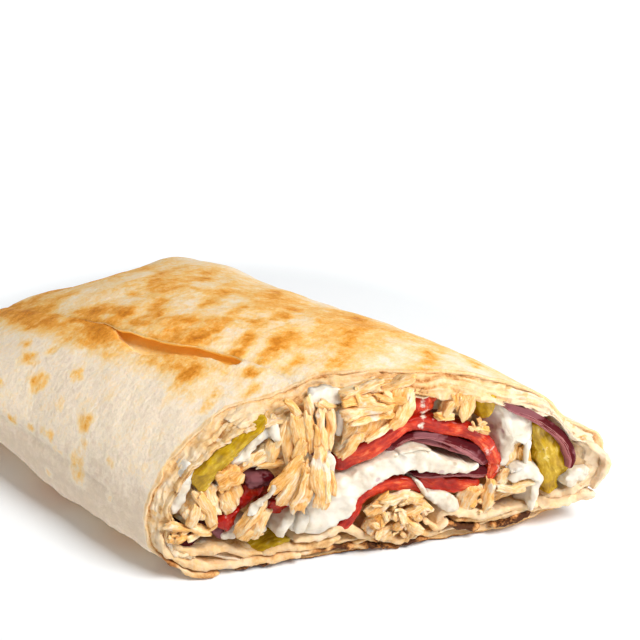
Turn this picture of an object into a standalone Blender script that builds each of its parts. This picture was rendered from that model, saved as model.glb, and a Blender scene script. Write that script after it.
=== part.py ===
"""Half of a rolled chicken wrap, cut on a slant and lying on its flat underside.

One sheet of thin flatbread is rolled about one and three quarter turns around the filling.
X runs across the roll, +Y along it from the cut to the folded end, and +Z is up. The origin
is the middle of the box on the floor. Every filling that shows at the cut is its own solid,
and it runs back through the roll and follows the roll's taper.
"""
import bpy
import bmesh
import numpy as np

MM = 0.001

# ---- driving dimensions -------------------------------------------------------------------
WIDTH = 0.074
HEIGHT = 0.0389
LENGTH = 0.144
CUT_ANGLE = np.radians(34.0)     # how far the cut is off square, its right side nearer the front

WIDEST_LEVEL = 0.33              # level of the widest point, of the height
TOP_ROUNDNESS = 2.1              # superellipse exponents of the upper and lower half
BOTTOM_ROUNDNESS = 3.4
TOP_FALL = 0.10                  # the top sinks this much towards the right side
RIGHT_RISE = 3.7 * MM            # the underside lifts off the table towards the right side
PRESSED_FLAT = 0.4 * MM          # the roll's weight presses its underside flat by this much
END_WIDTH = 0.98                 # width and height at the folded end, of those at the front
END_HEIGHT = 0.32
HEIGHT_CURVE = 3.0               # power of the way along the roll at which the height falls
END_ROUNDING = 0.032             # length over which the folded end narrows, seen from above
END_DROP = 0.018                 # and over which its top and bottom close, seen from the side
END_LIFT = 0.35                  # how far the tip of the folded end lifts off the table

SHEET = 1.4 * MM                 # thickness of the flatbread
SLOT = 0.5 * MM                  # gap between one turn of the sheet and the next
FLAP_ANGLE = 110.0               # the sheet's outer edge lies on top, left of the middle
TUCK_ANGLE = -246.0              # the sheet passes under its own outer edge here
INNER_END_ANGLE = -500.0         # the sheet's inner edge, low on the left
LIP_THICKNESS = 3.2 * MM         # folds gathered in the right side of the inner turn
FLAP_LIFT = 1.0 * MM             # the outer edge stands open in the middle of the roll
FLAP_OPEN_FROM = -0.022
FLAP_OPEN_TO = 0.020

CAVITY_END = 0.0445              # the filling reaches this far, behind it the end is folded bread
FILLING_END = 0.033              # the long pieces of filling end about here
END_STAGGER = 1.3 * MM           # and each a little before or behind its neighbours
CORE_RECESS = 4.5 * MM           # the chopped filling starts this far behind the cut
CLEARANCE = 0.5 * MM             # between the chopped filling and the other pieces
BREAD_CLEARANCE = 0.9 * MM       # and between it and the bread
FLOOR = 3.3 * MM                 # bread under and over the filling, and at its sides
ROOF = 4.2 * MM
SIDE = 3.0 * MM
ROUNDING = 0.35 * MM             # at the front and back edges of each piece

SHEET_STEPS = 56                 # points along the rolled sheet
LENGTH_STEPS = 6
END_STEPS = 5
CORE_POINTS = 28
CORE_STEPS = 3
SPINE_STEP = 3.4 * MM            # spacing of the points along a spine

# ---- materials: base colour, roughness ------------------------------------------------------
LOOKS = {
    "bread": ((0.83, 0.66, 0.42), 0.75),
    "chicken": ((0.72, 0.47, 0.22), 0.55),
    "chopped": ((0.66, 0.45, 0.24), 0.60),
    "tomato": ((0.60, 0.05, 0.02), 0.30),
    "onion": ((0.28, 0.03, 0.07), 0.35),
    "pickle": ((0.42, 0.36, 0.04), 0.30),
    "sauce": ((0.83, 0.78, 0.68), 0.35),
}

# ---- the filling ------------------------------------------------------------------------------
# Each piece: name, look, front in front of the cut, length (0 means to the far end), and its
# spine in the cut plane as (across, up, thickness) in mm. A spine needs only its bends.
PIECES = [
    ("pickle_left", "pickle", 0.5, 0,
     [(-22.4, 29.4, 2.0), (-26.6, 27.0, 3.4), (-30.2, 23.9, 3.8), (-32.9, 20.8, 2.6)]),
    ("sauce_beside_pickle", "sauce", 0.2, 0,
     [(-20.5, 27.9, 1.5), (-23.2, 25.6, 1.6), (-25.5, 23.5, 1.2)]),
    ("chicken_left_upper", "chicken", -1.0, 18,
     [(-24.3, 22.1, 1.0), (-22.2, 22.9, 1.9), (-20.5, 24.3, 2.4)]),
    ("onion_left", "onion", -1.0, 0,
     [(-25.7, 20.0, 2.6), (-22.9, 20.1, 2.4)]),
    ("tomato_left", "tomato", -1.5, 0,
     [(-26.3, 14.9, 1.8), (-25.4, 16.4, 2.6), (-24.2, 17.3, 1.8)]),
    ("chicken_left_outer", "chicken", 0.5, 22,
     [(-36.4, 14.4, 3.2), (-34.6, 15.6, 5.6), (-33.4, 15.8, 5.6)]),
    ("chicken_left_pale", "chicken", 1.0, 16,
     [(-29.2, 20.7, 2.4), (-28.9, 18.4, 3.8), (-29.0, 15.9, 3.0)]),
    ("tomato_small", "tomato", 0.0, 0,
     [(-31.4, 11.2, 2.4), (-30.0, 11.7, 2.9), (-28.7, 12.2, 2.6)]),
    ("onion_cube", "onion", -1.0, 0,
     [(-37.4, 8.0, 2.2), (-36.0, 8.9, 2.2)]),
    ("onion_chip", "onion", -0.5, 0,
     [(-32.8, 9.2, 1.6), (-31.8, 8.6, 1.6)]),
    ("sauce_left_edge", "sauce", 0.5, 0,
     [(-35.3, 22.9, 1.0), (-36.9, 20.4, 2.0), (-38.5, 17.2, 2.2), (-39.3, 14.4, 1.8)]),
    ("chicken_corner", "chicken", 0.0, 16,
     [(-38.4, 11.6, 1.6), (-36.2, 11.2, 2.0), (-34.4, 11.2, 1.4)]),
    ("sauce_lower_left", "sauce", -0.5, 0,
     [(-29.4, 7.6, 1.6), (-26.8, 7.1, 2.0), (-24.2, 6.8, 2.0)]),
    ("chicken_coated", "chicken", 2.0, 14,
     [(-26.0, 10.6, 3.0), (-24.4, 11.8, 3.6), (-23.5, 13.8, 2.0)]),
    ("sauce_on_shred", "sauce", 3.0, 12,
     [(-21.9, 18.2, 1.0), (-22.5, 16.7, 1.1)]),
    ("chicken_shred_top", "chicken", 3.0, 24,
     [(-14.3, 30.5, 5.2), (-14.0, 29.2, 5.6), (-13.6, 27.8, 4.2)]),
    ("chicken_shred_left", "chicken", 1.5, 24,
     [(-18.5, 30.6, 1.8), (-18.4, 28.0, 1.9), (-18.1, 24.6, 1.7)]),
    ("chicken_shred_middle", "chicken", 5.0, 20,
     [(-13.7, 24.8, 2.4), (-13.8, 21.0, 2.6), (-13.9, 17.2, 3.0)]),
    ("chicken_shred_fan", "chicken", 4.0, 20,
     [(-17.0, 22.8, 1.6), (-18.1, 19.6, 3.6), (-18.4, 16.2, 4.4)]),
    ("sauce_on_shreds", "sauce", 2.0, 14,
     [(-11.4, 24.4, 1.0), (-11.5, 21.0, 1.0)]),
    ("sauce_upper", "sauce", 0.0, 0,
     [(-9.4, 31.6, 1.8), (-9.6, 27.8, 1.8)]),
    ("chicken_top_layer", "chicken", 2.5, 22,
     [(-6.9, 32.4, 1.8), (-4.4, 32.2, 2.4), (-2.0, 32.0, 2.0)]),
    ("chicken_top_block", "chicken", 1.5, 24,
     [(2.4, 32.6, 3.2), (1.8, 31.2, 3.8), (1.1, 29.6, 2.4)]),
    ("chicken_flat", "chicken", 2.0, 26,
     [(-2.6, 29.6, 1.8), (-4.9, 28.1, 2.8), (-7.5, 25.9, 2.0)]),
    ("tomato_top", "tomato", 0.0, 0,
     [(7.2, 32.4, 2.8), (6.8, 31.3, 3.0), (6.3, 30.2, 2.2)]),
    ("tomato_upper", "tomato", 0.5, 0,
     [(-9.2, 21.2, 3.4), (-4.6, 23.4, 3.6), (0.2, 25.6, 2.8), (5.0, 27.4, 1.9), (10.4, 27.1, 2.1),
      (15.4, 25.4, 2.1), (19.3, 22.6, 2.1), (21.0, 18.6, 1.9), (20.9, 14.8, 1.5)]),
    ("tomato_lower", "tomato", 0.5, 0,
     [(-9.6, 6.6, 1.0), (-6.6, 9.4, 2.2), (-4.2, 12.8, 2.4), (-0.2, 14.7, 2.4), (3.4, 14.6, 1.8)]),
    ("tomato_right", "tomato", -0.5, 0,
     [(7.4, 13.8, 1.0), (10.2, 12.9, 1.7), (14.4, 12.0, 2.2), (18.0, 11.4, 1.8)]),
    ("onion_arc_outer", "onion", 0.3, 0,
     [(2.6, 22.8, 1.2), (5.0, 24.8, 1.3), (9.2, 24.4, 1.2), (13.4, 22.7, 1.3), (16.8, 20.2, 1.3),
      (18.6, 18.0, 1.0)]),
    ("onion_arc_inner", "onion", -0.5, 0,
     [(6.8, 22.6, 1.0), (10.2, 21.9, 1.2), (13.6, 20.0, 1.2), (15.6, 18.6, 0.9)]),
    ("onion_lower", "onion", -0.2, 0,
     [(9.4, 15.4, 1.0), (13.0, 15.0, 1.3), (16.4, 14.4, 1.5), (18.4, 14.2, 1.3)]),
    ("sauce_middle", "sauce", 0.8, 0,
     [(15.0, 17.0, 1.0), (10.6, 17.9, 2.2), (5.8, 19.4, 3.4), (0.4, 18.9, 3.6), (-4.8, 17.4, 3.2),
      (-8.8, 14.4, 4.4), (-12.4, 10.8, 5.6), (-16.8, 9.8, 3.2)]),
    ("chicken_lower_upper", "chicken", 2.0, 22,
     [(-2.6, 10.2, 1.6), (0.4, 11.1, 2.4), (4.0, 11.4, 2.2), (6.4, 10.7, 1.4)]),
    ("chicken_lower", "chicken", 1.0, 24,
     [(-2.8, 6.6, 2.8), (0.8, 6.9, 3.6), (4.8, 7.0, 2.8)]),
    ("sauce_lower_right", "sauce", 0.2, 0,
     [(9.0, 10.4, 1.1), (11.2, 9.0, 1.7), (13.0, 7.8, 1.6)]),
    ("chicken_lower_right", "chicken", 0.0, 20,
     [(16.2, 8.8, 2.0), (17.6, 8.0, 2.2)]),
    ("chicken_right_upper", "chicken", 0.5, 20,
     [(11.2, 31.4, 2.4), (11.4, 29.9, 2.4)]),
    ("chicken_right_block", "chicken", 0.5, 22,
     [(14.9, 30.4, 2.6), (14.9, 28.9, 2.8)]),
    ("pickle_top", "pickle", 0.2, 0,
     [(18.5, 29.4, 2.2), (19.3, 26.9, 2.2)]),
    ("onion_strip_right", "onion", 0.5, 0,
     [(23.0, 28.4, 1.4), (27.6, 25.8, 1.6), (31.5, 22.4, 1.6), (33.8, 18.9, 1.5),
      (34.3, 16.2, 1.1)]),
    ("pickle_right", "pickle", 0.5, 0,
     [(28.7, 22.0, 1.4), (30.2, 18.4, 2.8), (31.5, 14.2, 3.2), (32.4, 10.6, 2.2)]),
    ("sauce_right", "sauce", 0.5, 0,
     [(22.6, 26.0, 2.2), (24.6, 23.2, 3.4), (26.0, 20.4, 2.8)]),
    ("chicken_right", "chicken", 0.0, 20,
     [(24.0, 17.1, 2.0), (26.4, 16.8, 2.2)]),
    ("sauce_lump_right", "sauce", 1.0, 14,
     [(24.6, 13.2, 2.0), (27.0, 13.4, 2.4), (28.6, 11.2, 2.0), (28.8, 8.8, 1.3)]),
    ("chicken_right_lower", "chicken", 0.5, 18,
     [(22.8, 10.2, 1.8), (25.0, 9.8, 2.0)]),
]


# ---- the roll's outline -----------------------------------------------------------------------
def signed_power(value, power):
    """Power of the size of a value, keeping its sign."""
    return np.sign(value) * np.abs(value) ** power


def smooth_step(value, start, stop):
    """0 before start, 1 after stop, with a smooth S between."""
    t = np.clip((value - start) / (stop - start), 0.0, 1.0)
    return t * t * (3.0 - 2.0 * t)


def half_width(y):
    """Half the roll's width at y, shrinking to nothing at the folded end."""
    return WIDTH / 2 * (1 - (1 - END_WIDTH) * along(y)) * end_factor(y, END_ROUNDING)


def along(y):
    """0 at the front of the box, 1 at the folded end."""
    return np.clip((y + LENGTH / 2) / LENGTH, 0.0, 1.0)


def end_factor(y, reach):
    """1 along the roll, falling to 0 over its last reach like a quarter of an ellipse."""
    q = np.clip((y - (LENGTH / 2 - reach)) / reach, 0.0, 1.0)
    return np.sqrt(1 - q ** 2)


def roll_height(y):
    """Full height of the roll at y, before the end is rounded off."""
    return HEIGHT * (1 - (1 - END_HEIGHT) * along(y) ** HEIGHT_CURVE)


def right_rise(across):
    """Lift of the underside, growing with the square of the way to the right side."""
    return RIGHT_RISE * np.clip((across - 0.15) / 0.85, 0.0, 1.0) ** 2


def outline(angle, y):
    """Point (x, z) of the roll's outer skin at an angle in degrees, 0 right and 90 on top."""
    c = np.cos(np.radians(angle))
    s = np.sin(np.radians(angle))
    roundness = np.where(s > 0, TOP_ROUNDNESS, BOTTOM_ROUNDNESS)
    across = signed_power(c, 2 / roundness)
    up = signed_power(s, 2 / roundness)
    shrink = end_factor(y, END_DROP)
    height = roll_height(y) * shrink
    base = END_LIFT * roll_height(y) * (1 - shrink)
    fall = 1 - TOP_FALL * np.clip((across + 0.3) / 1.3, 0.0, 1.0) ** 1.5
    reach = np.where(s > 0, (1 - WIDEST_LEVEL) * height * fall, WIDEST_LEVEL * height)
    rise = right_rise(across) * np.where(s > 0, 1 - np.abs(s), 1.0)
    level = base + WIDEST_LEVEL * height + reach * up + rise
    return half_width(y) * across, np.maximum(level - PRESSED_FLAT, 0.0)


def inset(angle, y, depth):
    """Outline point moved straight in by a depth."""
    x, z = outline(angle, y)
    x0, z0 = outline(angle - 0.5, y)
    x1, z1 = outline(angle + 0.5, y)
    tx, tz = x1 - x0, z1 - z0
    size = np.hypot(tx, tz) + 1e-12
    return x - tz / size * depth, z + tx / size * depth


def cut_y(x):
    """Where the slanted cut stands at x."""
    return -LENGTH / 2 + np.tan(CUT_ANGLE) * (WIDTH / 2 - x)


def ring_from_cut(angle, depth, sideways, part, back, recess=0.0):
    """Ring of points at a fraction of the way from the cut (or behind it) to the plane y = back.

    Each point lies a depth under the outline, and sideways moves it on towards the left.
    """
    y = np.full(np.shape(angle), -LENGTH / 2)
    for _ in range(8):
        x, z = inset(angle, y, depth)
        x = x - sideways
        front = cut_y(x) + recess / np.cos(CUT_ANGLE)
        y = front + (back - front) * part
    x, z = inset(angle, y, depth)
    return np.stack([x - sideways, y, z], axis=-1)


# ---- flatbread --------------------------------------------------------------------------------
def sheet_depth(angle):
    """How deep the sheet's outer face lies under the outline: 0 on the outer turn."""
    return (SHEET + SLOT) * smooth_step(-angle, 195.0, -TUCK_ANGLE)


def lip(angle):
    """Extra bread gathered into the right side of the inner turn."""
    return LIP_THICKNESS * np.exp(-((angle + 360.0) / 26.0) ** 2)


def sheet_thickness(angle):
    """The sheet, thinner at both edges."""
    outer_edge = 1 - 0.4 * smooth_step(angle, FLAP_ANGLE - 16.0, FLAP_ANGLE)
    inner_edge = 1 - 0.4 * smooth_step(-angle, -INNER_END_ANGLE - 14.0, -INNER_END_ANGLE)
    return SHEET * outer_edge * inner_edge


def flap_lift(angle, y):
    """The outer edge bends up over a stretch in the middle of the roll."""
    middle = (FLAP_OPEN_FROM + FLAP_OPEN_TO) / 2
    reach = (FLAP_OPEN_TO - FLAP_OPEN_FROM) / 2
    stretch = np.clip(1 - ((y - middle) / reach) ** 2, 0.0, 1.0)
    return FLAP_LIFT * stretch * smooth_step(angle, FLAP_ANGLE - 26.0, FLAP_ANGLE)


def make_mesh_object(name, points, faces, look):
    """Object with its faces turned outwards, in metres."""
    mesh = bpy.data.meshes.new(name)
    mesh.from_pydata([tuple(p) for p in points], [], faces)
    shell = bmesh.new()
    shell.from_mesh(mesh)
    bmesh.ops.recalc_face_normals(shell, faces=shell.faces)
    shell.to_mesh(mesh)
    shell.free()
    mesh.shade_smooth()
    mesh.set_sharp_from_angle(angle=np.radians(40.0))
    item = bpy.data.objects.new(name, mesh)
    bpy.context.scene.collection.objects.link(item)
    item.data.materials.append(look)
    return item


def strip_faces(first, second, closed=False):
    """Quads between two rows of point numbers."""
    count = len(first) if closed else len(first) - 1
    faces = []
    for i in range(count):
        j = (i + 1) % len(first)
        faces.append((first[i], first[j], second[j], second[i]))
    return faces


def flatbread(look):
    """The rolled sheet from the cut to the cavity's end, and the closed folded end behind it."""
    angle = np.linspace(FLAP_ANGLE, INNER_END_ANGLE, SHEET_STEPS + 1)
    tuck = int(np.argmin(np.abs(angle - TUCK_ANGLE)))
    depth = sheet_depth(angle)
    thick = sheet_thickness(angle)
    points = []
    outer_rows, inner_rows = [], []
    for part in np.linspace(0.0, 1.0, LENGTH_STEPS + 1):
        for below, sideways, rows in ((0.0, 0.0, outer_rows), (thick, lip(angle), inner_rows)):
            ring = ring_from_cut(angle, depth + below, sideways, part, CAVITY_END)
            ring[:, 2] += flap_lift(angle, ring[:, 1])
            rows.append(list(range(len(points), len(points) + len(ring))))
            points.extend(ring)
    faces = []
    for j in range(LENGTH_STEPS):
        faces += strip_faces(outer_rows[j], outer_rows[j + 1])
        faces += strip_faces(inner_rows[j + 1], inner_rows[j])
        for edge in (0, -1):
            faces.append((outer_rows[j][edge], outer_rows[j + 1][edge],
                          inner_rows[j + 1][edge], inner_rows[j][edge]))
    faces += strip_faces(outer_rows[0], inner_rows[0])
    faces.append(tuple(inner_rows[-1] + outer_rows[-1][:tuck - 1:-1]))
    # the folded end: the outer turn's skin, closed by the step of the outer edge
    row = outer_rows[-1][:tuck + 1] + [inner_rows[-1][0]]
    skin_angle = np.append(angle[:tuck + 1], (FLAP_ANGLE + TUCK_ANGLE + 360.0) / 2)
    skin_depth = np.append(depth[:tuck + 1], thick[0])
    for step in range(1, END_STEPS + 1):
        turn = np.pi / 2 * step / END_STEPS * 0.985
        y = CAVITY_END + (LENGTH / 2 - CAVITY_END) * np.sin(turn)
        fade = 1 - 0.8 * step / END_STEPS
        x, z = inset(skin_angle, np.full(skin_angle.shape, y), skin_depth * fade)
        new_row = list(range(len(points), len(points) + len(x)))
        points.extend(np.stack([x, np.full(x.shape, y), z], axis=-1))
        faces += strip_faces(row, new_row, closed=True)
        row = new_row
    faces.append(tuple(row))
    return make_mesh_object("flatbread", points, faces, look)


# ---- filling ----------------------------------------------------------------------------------
def spine_outline(spine, grow=0.0):
    """Closed outline around a spine of (across, up, thickness) in mm, with rounded ends."""
    knots = np.array(spine, dtype=float) * MM
    lead = 2 * knots[0] - knots[1]
    tail = 2 * knots[-1] - knots[-2]
    ext = np.vstack([lead, knots, tail])
    reach = np.sum(np.hypot(*np.diff(knots[:, :2], axis=0).T))
    count = max(3, int(round(reach / SPINE_STEP)) + 1)
    line = []
    for t in np.linspace(0.0, len(knots) - 1.0, count):
        i = min(int(t), len(knots) - 2)
        f = t - i
        a, b, c, d = ext[i:i + 4]
        line.append(0.5 * (2 * b + (c - a) * f + (2 * a - 5 * b + 4 * c - d) * f ** 2
                           + (3 * b - a - 3 * c + d) * f ** 3))
    line = np.array(line)
    along_line = np.gradient(line[:, :2], axis=0)
    along_line /= np.linalg.norm(along_line, axis=1)[:, None]
    normal = np.stack([-along_line[:, 1], along_line[:, 0]], axis=-1)
    half = line[:, 2:3] / 2 + grow
    start = line[0, :2] - along_line[0] * half[0] * 0.7
    stop = line[-1, :2] + along_line[-1] * half[-1] * 0.7
    left = line[:, :2] + normal * half
    right = line[:, :2] - normal * half
    return np.vstack([start, left, stop, right[::-1]])


def filling_frame(x, y):
    """Half width, floor and roof of the room for the filling, at x and y."""
    side = half_width(y) - SIDE
    shrink = end_factor(y, END_DROP)
    height = roll_height(y)
    base = END_LIFT * height * (1 - shrink)
    return side, base + FLOOR + right_rise(x / half_width(y)), base + height * shrink - ROOF


def follow_roll(flat, front, back, stations):
    """Rings of an outline carried along the roll, each point keeping its place in the room.

    The outline lies in the cut plane; front and back hold each point's first and last y.
    """
    x0 = flat[:, 0] * np.cos(CUT_ANGLE)
    side0, floor0, roof0 = filling_frame(x0, cut_y(x0))
    share_x = x0 / side0
    share_z = (flat[:, 1] - floor0) / (roof0 - floor0)
    rings = []
    for part in stations:
        y = front + (back - front) * part
        x = x0
        for _ in range(3):
            x = share_x * filling_frame(x, y)[0]
        _, floor, roof = filling_frame(x, y)
        rings.append(np.stack([x, y, floor + share_z * (roof - floor)], axis=-1))
    return rings


def piece_object(name, spine, ahead, length, end, look, grow=0.0):
    """One piece of filling with rounded front and back edges: a narrower ring at each end.

    ahead is how far it stands out of the cut in mm, and length 0 lets it run to the plane
    y = end. A grown piece is the channel that it lies in.
    """
    rings = []
    stations = (0.0, 0.5, 1.0) if length == 0 else (0.0, 1.0)
    for narrower, parts in ((ROUNDING, stations[:1]), (0.0, stations), (ROUNDING, stations[-1:])):
        flat = spine_outline(spine, grow - narrower)
        front = cut_y(flat[:, 0] * np.cos(CUT_ANGLE)) - (ahead * MM + grow) / np.cos(CUT_ANGLE)
        back = np.full(front.shape, end + grow)
        if length > 0:
            back = np.minimum(front + length * MM + 2 * grow, back)
        step = ROUNDING - narrower
        rings += follow_roll(flat, front + step, back - step, parts)
    points = np.vstack(rings)
    size = len(flat)
    rows = [list(range(k * size, (k + 1) * size)) for k in range(len(rings))]
    faces = [tuple(rows[0]), tuple(rows[-1])]
    for first, second in zip(rows[:-1], rows[1:]):
        faces += strip_faces(first, second, closed=True)
    return make_mesh_object(name, points, faces, look)


def room(angle):
    """Depth and sideways shift of the room for the filling, with clearance to the bread."""
    turn = np.mod(angle - FLAP_ANGLE, 360.0) + FLAP_ANGLE - 360.0     # on the outer turn
    inner_turn = turn - 360.0
    one_layer = sheet_depth(turn) + sheet_thickness(turn)
    two_layers = sheet_depth(inner_turn) + sheet_thickness(inner_turn)
    two = smooth_step(inner_turn, INNER_END_ANGLE - 12.0, INNER_END_ANGLE - 4.0)
    depth = one_layer + (two_layers - one_layer) * two + BREAD_CLEARANCE
    return depth, lip(inner_turn)


def chopped_filling(look, cutters):
    """Chopped chicken and sauce: the room behind the cut, less a channel for every piece."""
    angle = np.linspace(FLAP_ANGLE, FLAP_ANGLE - 360.0, CORE_POINTS, endpoint=False)
    depth, sideways = room(angle)
    points, rows = [], []
    for part in np.linspace(0.0, 1.0, CORE_STEPS + 1):
        ring = ring_from_cut(angle, depth, sideways, part, CAVITY_END - 1.0 * MM, CORE_RECESS)
        rows.append(list(range(len(points), len(points) + len(ring))))
        points.extend(ring)
    faces = [tuple(rows[0]), tuple(rows[-1])]
    for first, second in zip(rows[:-1], rows[1:]):
        faces += strip_faces(first, second, closed=True)
    core = make_mesh_object("chopped_filling", points, faces, look)
    rooms = bpy.data.collections.new("rooms_for_pieces")
    for cutter in cutters:
        rooms.objects.link(cutter)
    channels = core.modifiers.new("channels", "BOOLEAN")
    channels.operation = "DIFFERENCE"
    channels.operand_type = "COLLECTION"
    channels.collection = rooms
    channels.solver = "MANIFOLD"
    keep_largest_body(core)
    for cutter in cutters:
        bpy.data.objects.remove(cutter)
    bpy.data.collections.remove(rooms)
    return core


def keep_largest_body(item):
    """Bake the object's modifiers and drop the crumbs that they cut loose."""
    bpy.context.view_layer.update()
    seen = item.evaluated_get(bpy.context.evaluated_depsgraph_get())
    shape = bmesh.new()
    shape.from_mesh(seen.to_mesh())
    seen.to_mesh_clear()
    bodies = []
    todo = set(shape.faces)
    while todo:
        group = set()
        edge_of_group = [todo.pop()]
        while edge_of_group:
            face = edge_of_group.pop()
            group.add(face)
            for edge in face.edges:
                for other in edge.link_faces:
                    if other in todo:
                        todo.remove(other)
                        edge_of_group.append(other)
        bodies.append(group)
    bodies.sort(key=lambda group: sum(face.calc_area() for face in group))
    for group in bodies[:-1]:
        bmesh.ops.delete(shape, geom=list(group), context="FACES")
    item.modifiers.clear()
    shape.to_mesh(item.data)
    shape.free()


def make_look(name):
    """Principled material of one food."""
    colour, roughness = LOOKS[name]
    look = bpy.data.materials.new(name)
    look.use_nodes = True
    shader = look.node_tree.nodes["Principled BSDF"]
    shader.inputs["Base Color"].default_value = (*colour, 1.0)
    shader.inputs["Roughness"].default_value = roughness
    shader.inputs["Metallic"].default_value = 0.0
    return look


def main():
    """Clear the scene and build the bread, the pieces and the chopped filling."""
    for item in list(bpy.data.objects):
        bpy.data.objects.remove(item)
    looks = {name: make_look(name) for name in LOOKS}
    flatbread(looks["bread"])
    cutters = []
    for number, (name, look, ahead, length, spine) in enumerate(PIECES):
        back = FILLING_END + END_STAGGER * (number % 5 - 2)
        piece_object(name, spine, ahead, length, back, looks[look])
        cutter = piece_object("room_for_" + name, spine, ahead, length, back, looks[look],
                              grow=CLEARANCE)
        cutter.hide_render = True
        cutter.display_type = "WIRE"
        cutters.append(cutter)
    chopped_filling(looks["chopped"], cutters)


main()
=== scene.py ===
# %% [markdown]
# # A cut half of a grilled chicken wrap
#
# A thin flatbread is rolled around chicken, tomato, red onion, pickle and white sauce, grilled
# and cut on a slant. The half lies on its flat underside, and its cut faces the viewer.
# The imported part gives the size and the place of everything. This script makes the looks:
# crinkled toasted bread with a ragged rim, and moist pieces of filling that stand out of the cut.
# All lengths below are millimetres in the part's frame, until a mesh is made from them.

import bpy
import numpy as np
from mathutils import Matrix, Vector


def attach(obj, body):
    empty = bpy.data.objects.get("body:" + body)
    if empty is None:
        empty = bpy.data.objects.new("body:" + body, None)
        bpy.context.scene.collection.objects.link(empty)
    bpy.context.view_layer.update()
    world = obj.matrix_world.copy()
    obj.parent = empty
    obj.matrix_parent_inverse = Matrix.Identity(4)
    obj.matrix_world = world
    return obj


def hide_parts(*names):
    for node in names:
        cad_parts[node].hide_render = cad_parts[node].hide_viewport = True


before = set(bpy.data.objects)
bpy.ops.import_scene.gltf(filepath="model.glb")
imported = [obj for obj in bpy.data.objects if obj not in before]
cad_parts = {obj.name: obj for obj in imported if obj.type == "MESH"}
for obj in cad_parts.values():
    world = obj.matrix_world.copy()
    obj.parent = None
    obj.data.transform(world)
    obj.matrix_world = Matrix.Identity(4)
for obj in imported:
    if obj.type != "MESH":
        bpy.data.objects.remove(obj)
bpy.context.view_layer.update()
MM = 0.001
print("CAD nodes:", len(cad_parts))

# %% [markdown]
# ## The roll's outline
#
# A pressed roll is a superellipse in section: round on top, squarer below, where it was pressed on
# the grill. Its height falls and it closes towards the folded end. The part's own formulas are
# repeated here, so that both models fit, with two small changes: the left lower edge curls up,
# and what lifts the underside fades where the end drops.

# %% Sizes of the roll
WIDTH, HEIGHT, LENGTH = 74.0, 38.9, 144.0
CUT_ANGLE = np.radians(34.0)
WIDEST_LEVEL = 0.33
TOP_ROUNDNESS, BOTTOM_ROUNDNESS = 2.1, 3.4
TOP_FALL = 0.1
RIGHT_RISE = 3.7
LEFT_RISE = 5.5
PRESSED_FLAT = 0.4
END_WIDTH, END_HEIGHT, HEIGHT_CURVE = 0.98, 0.32, 3.0
END_ROUNDING, END_DROP, END_LIFT = 32.0, 18.0, 0.35
BREAD_END = LENGTH / 2
print("the roll:", WIDTH, "by", LENGTH, "by", HEIGHT, "mm")

# %% Powers, steps and ridges


def signed_power(value, power):
    """Power of the size of a value, keeping its sign."""
    return np.sign(value) * np.abs(value) ** power


def held(value):
    """Value held between 0 and 1."""
    return np.clip(value, 0.0, 1.0)


def smooth_step(value, start, stop):
    """0 before start, 1 after stop, with a smooth S between."""
    t = held((value - start) / (stop - start))
    return t * t * (3.0 - 2.0 * t)


def ridge(value, middle, width):
    """1 at the middle, falling off on both sides like a bell of this width."""
    return np.exp(-((value - middle) / width) ** 2)


def window(value, start, full, fade, stop):
    """0 up to start, 1 from full to fade, 0 after stop."""
    return smooth_step(value, start, full) * (1 - smooth_step(value, fade, stop))


print("a step 1/4 of the way:", smooth_step(0.25, 0.0, 1.0))

# %% Outline of the roll


def end_factor(y, reach):
    """1 along the roll, falling to 0 over its last reach like a quarter of an ellipse."""
    q = held((y - (BREAD_END - reach)) / reach)
    return np.sqrt(1 - q ** 2)


def half_width(y):
    """Half the roll's width at y."""
    along = held((y + LENGTH / 2) / LENGTH)
    return WIDTH / 2 * (1 - (1 - END_WIDTH) * along) * end_factor(y, END_ROUNDING)


def roll_height(y):
    """Full height of the roll at y, before the end is rounded off."""
    along = held((y + LENGTH / 2) / LENGTH)
    return HEIGHT * (1 - (1 - END_HEIGHT) * along ** HEIGHT_CURVE)


def right_rise(across):
    """Lift of the underside, growing with the square of the way to the right side."""
    return RIGHT_RISE * held((across - 0.15) / 0.85) ** 2


def left_rise(across, y):
    """Lift of the left lower edge, which curls up off the table towards the folded end."""
    return LEFT_RISE * smooth_step(y, 4.0, 34.0) * held((-across - 0.2) / 0.8) ** 1.5


def outline(angle, y):
    """Point (x, z) of the outer skin at an angle in degrees, 0 right and 90 on top."""
    c, s = np.cos(np.radians(angle)), np.sin(np.radians(angle))
    roundness = np.where(s > 0, TOP_ROUNDNESS, BOTTOM_ROUNDNESS)
    across = signed_power(c, 2 / roundness)
    up = signed_power(s, 2 / roundness)
    shrink = end_factor(y, END_DROP)
    height = roll_height(y) * shrink
    base = END_LIFT * roll_height(y) * (1 - shrink)
    fall = 1 - TOP_FALL * held((across + 0.3) / 1.3) ** 1.5
    reach = np.where(s > 0, (1 - WIDEST_LEVEL) * height * fall, WIDEST_LEVEL * height)
    rise = (right_rise(across) + left_rise(across, y)) * shrink
    rise = rise * np.where(s > 0, 1 - np.abs(s), 1.0)
    level = base + WIDEST_LEVEL * height + reach * up + rise
    return half_width(y) * across, np.maximum(level - PRESSED_FLAT, 0.0)


def inset(angle, y, depth):
    """Outline point moved straight in by a depth."""
    x, z = outline(angle, y)
    x0, z0 = outline(angle - 0.5, y)
    x1, z1 = outline(angle + 0.5, y)
    tx, tz = x1 - x0, z1 - z0
    size = np.hypot(tx, tz) + 1e-9
    return x - tz / size * depth, z + tx / size * depth


def cut_y(x):
    """Where the slanted cut stands at x."""
    return -LENGTH / 2 + np.tan(CUT_ANGLE) * (WIDTH / 2 - x)


print("roll height 30 mm from the end:", round(float(roll_height(BREAD_END - 30.0)), 1))

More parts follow.
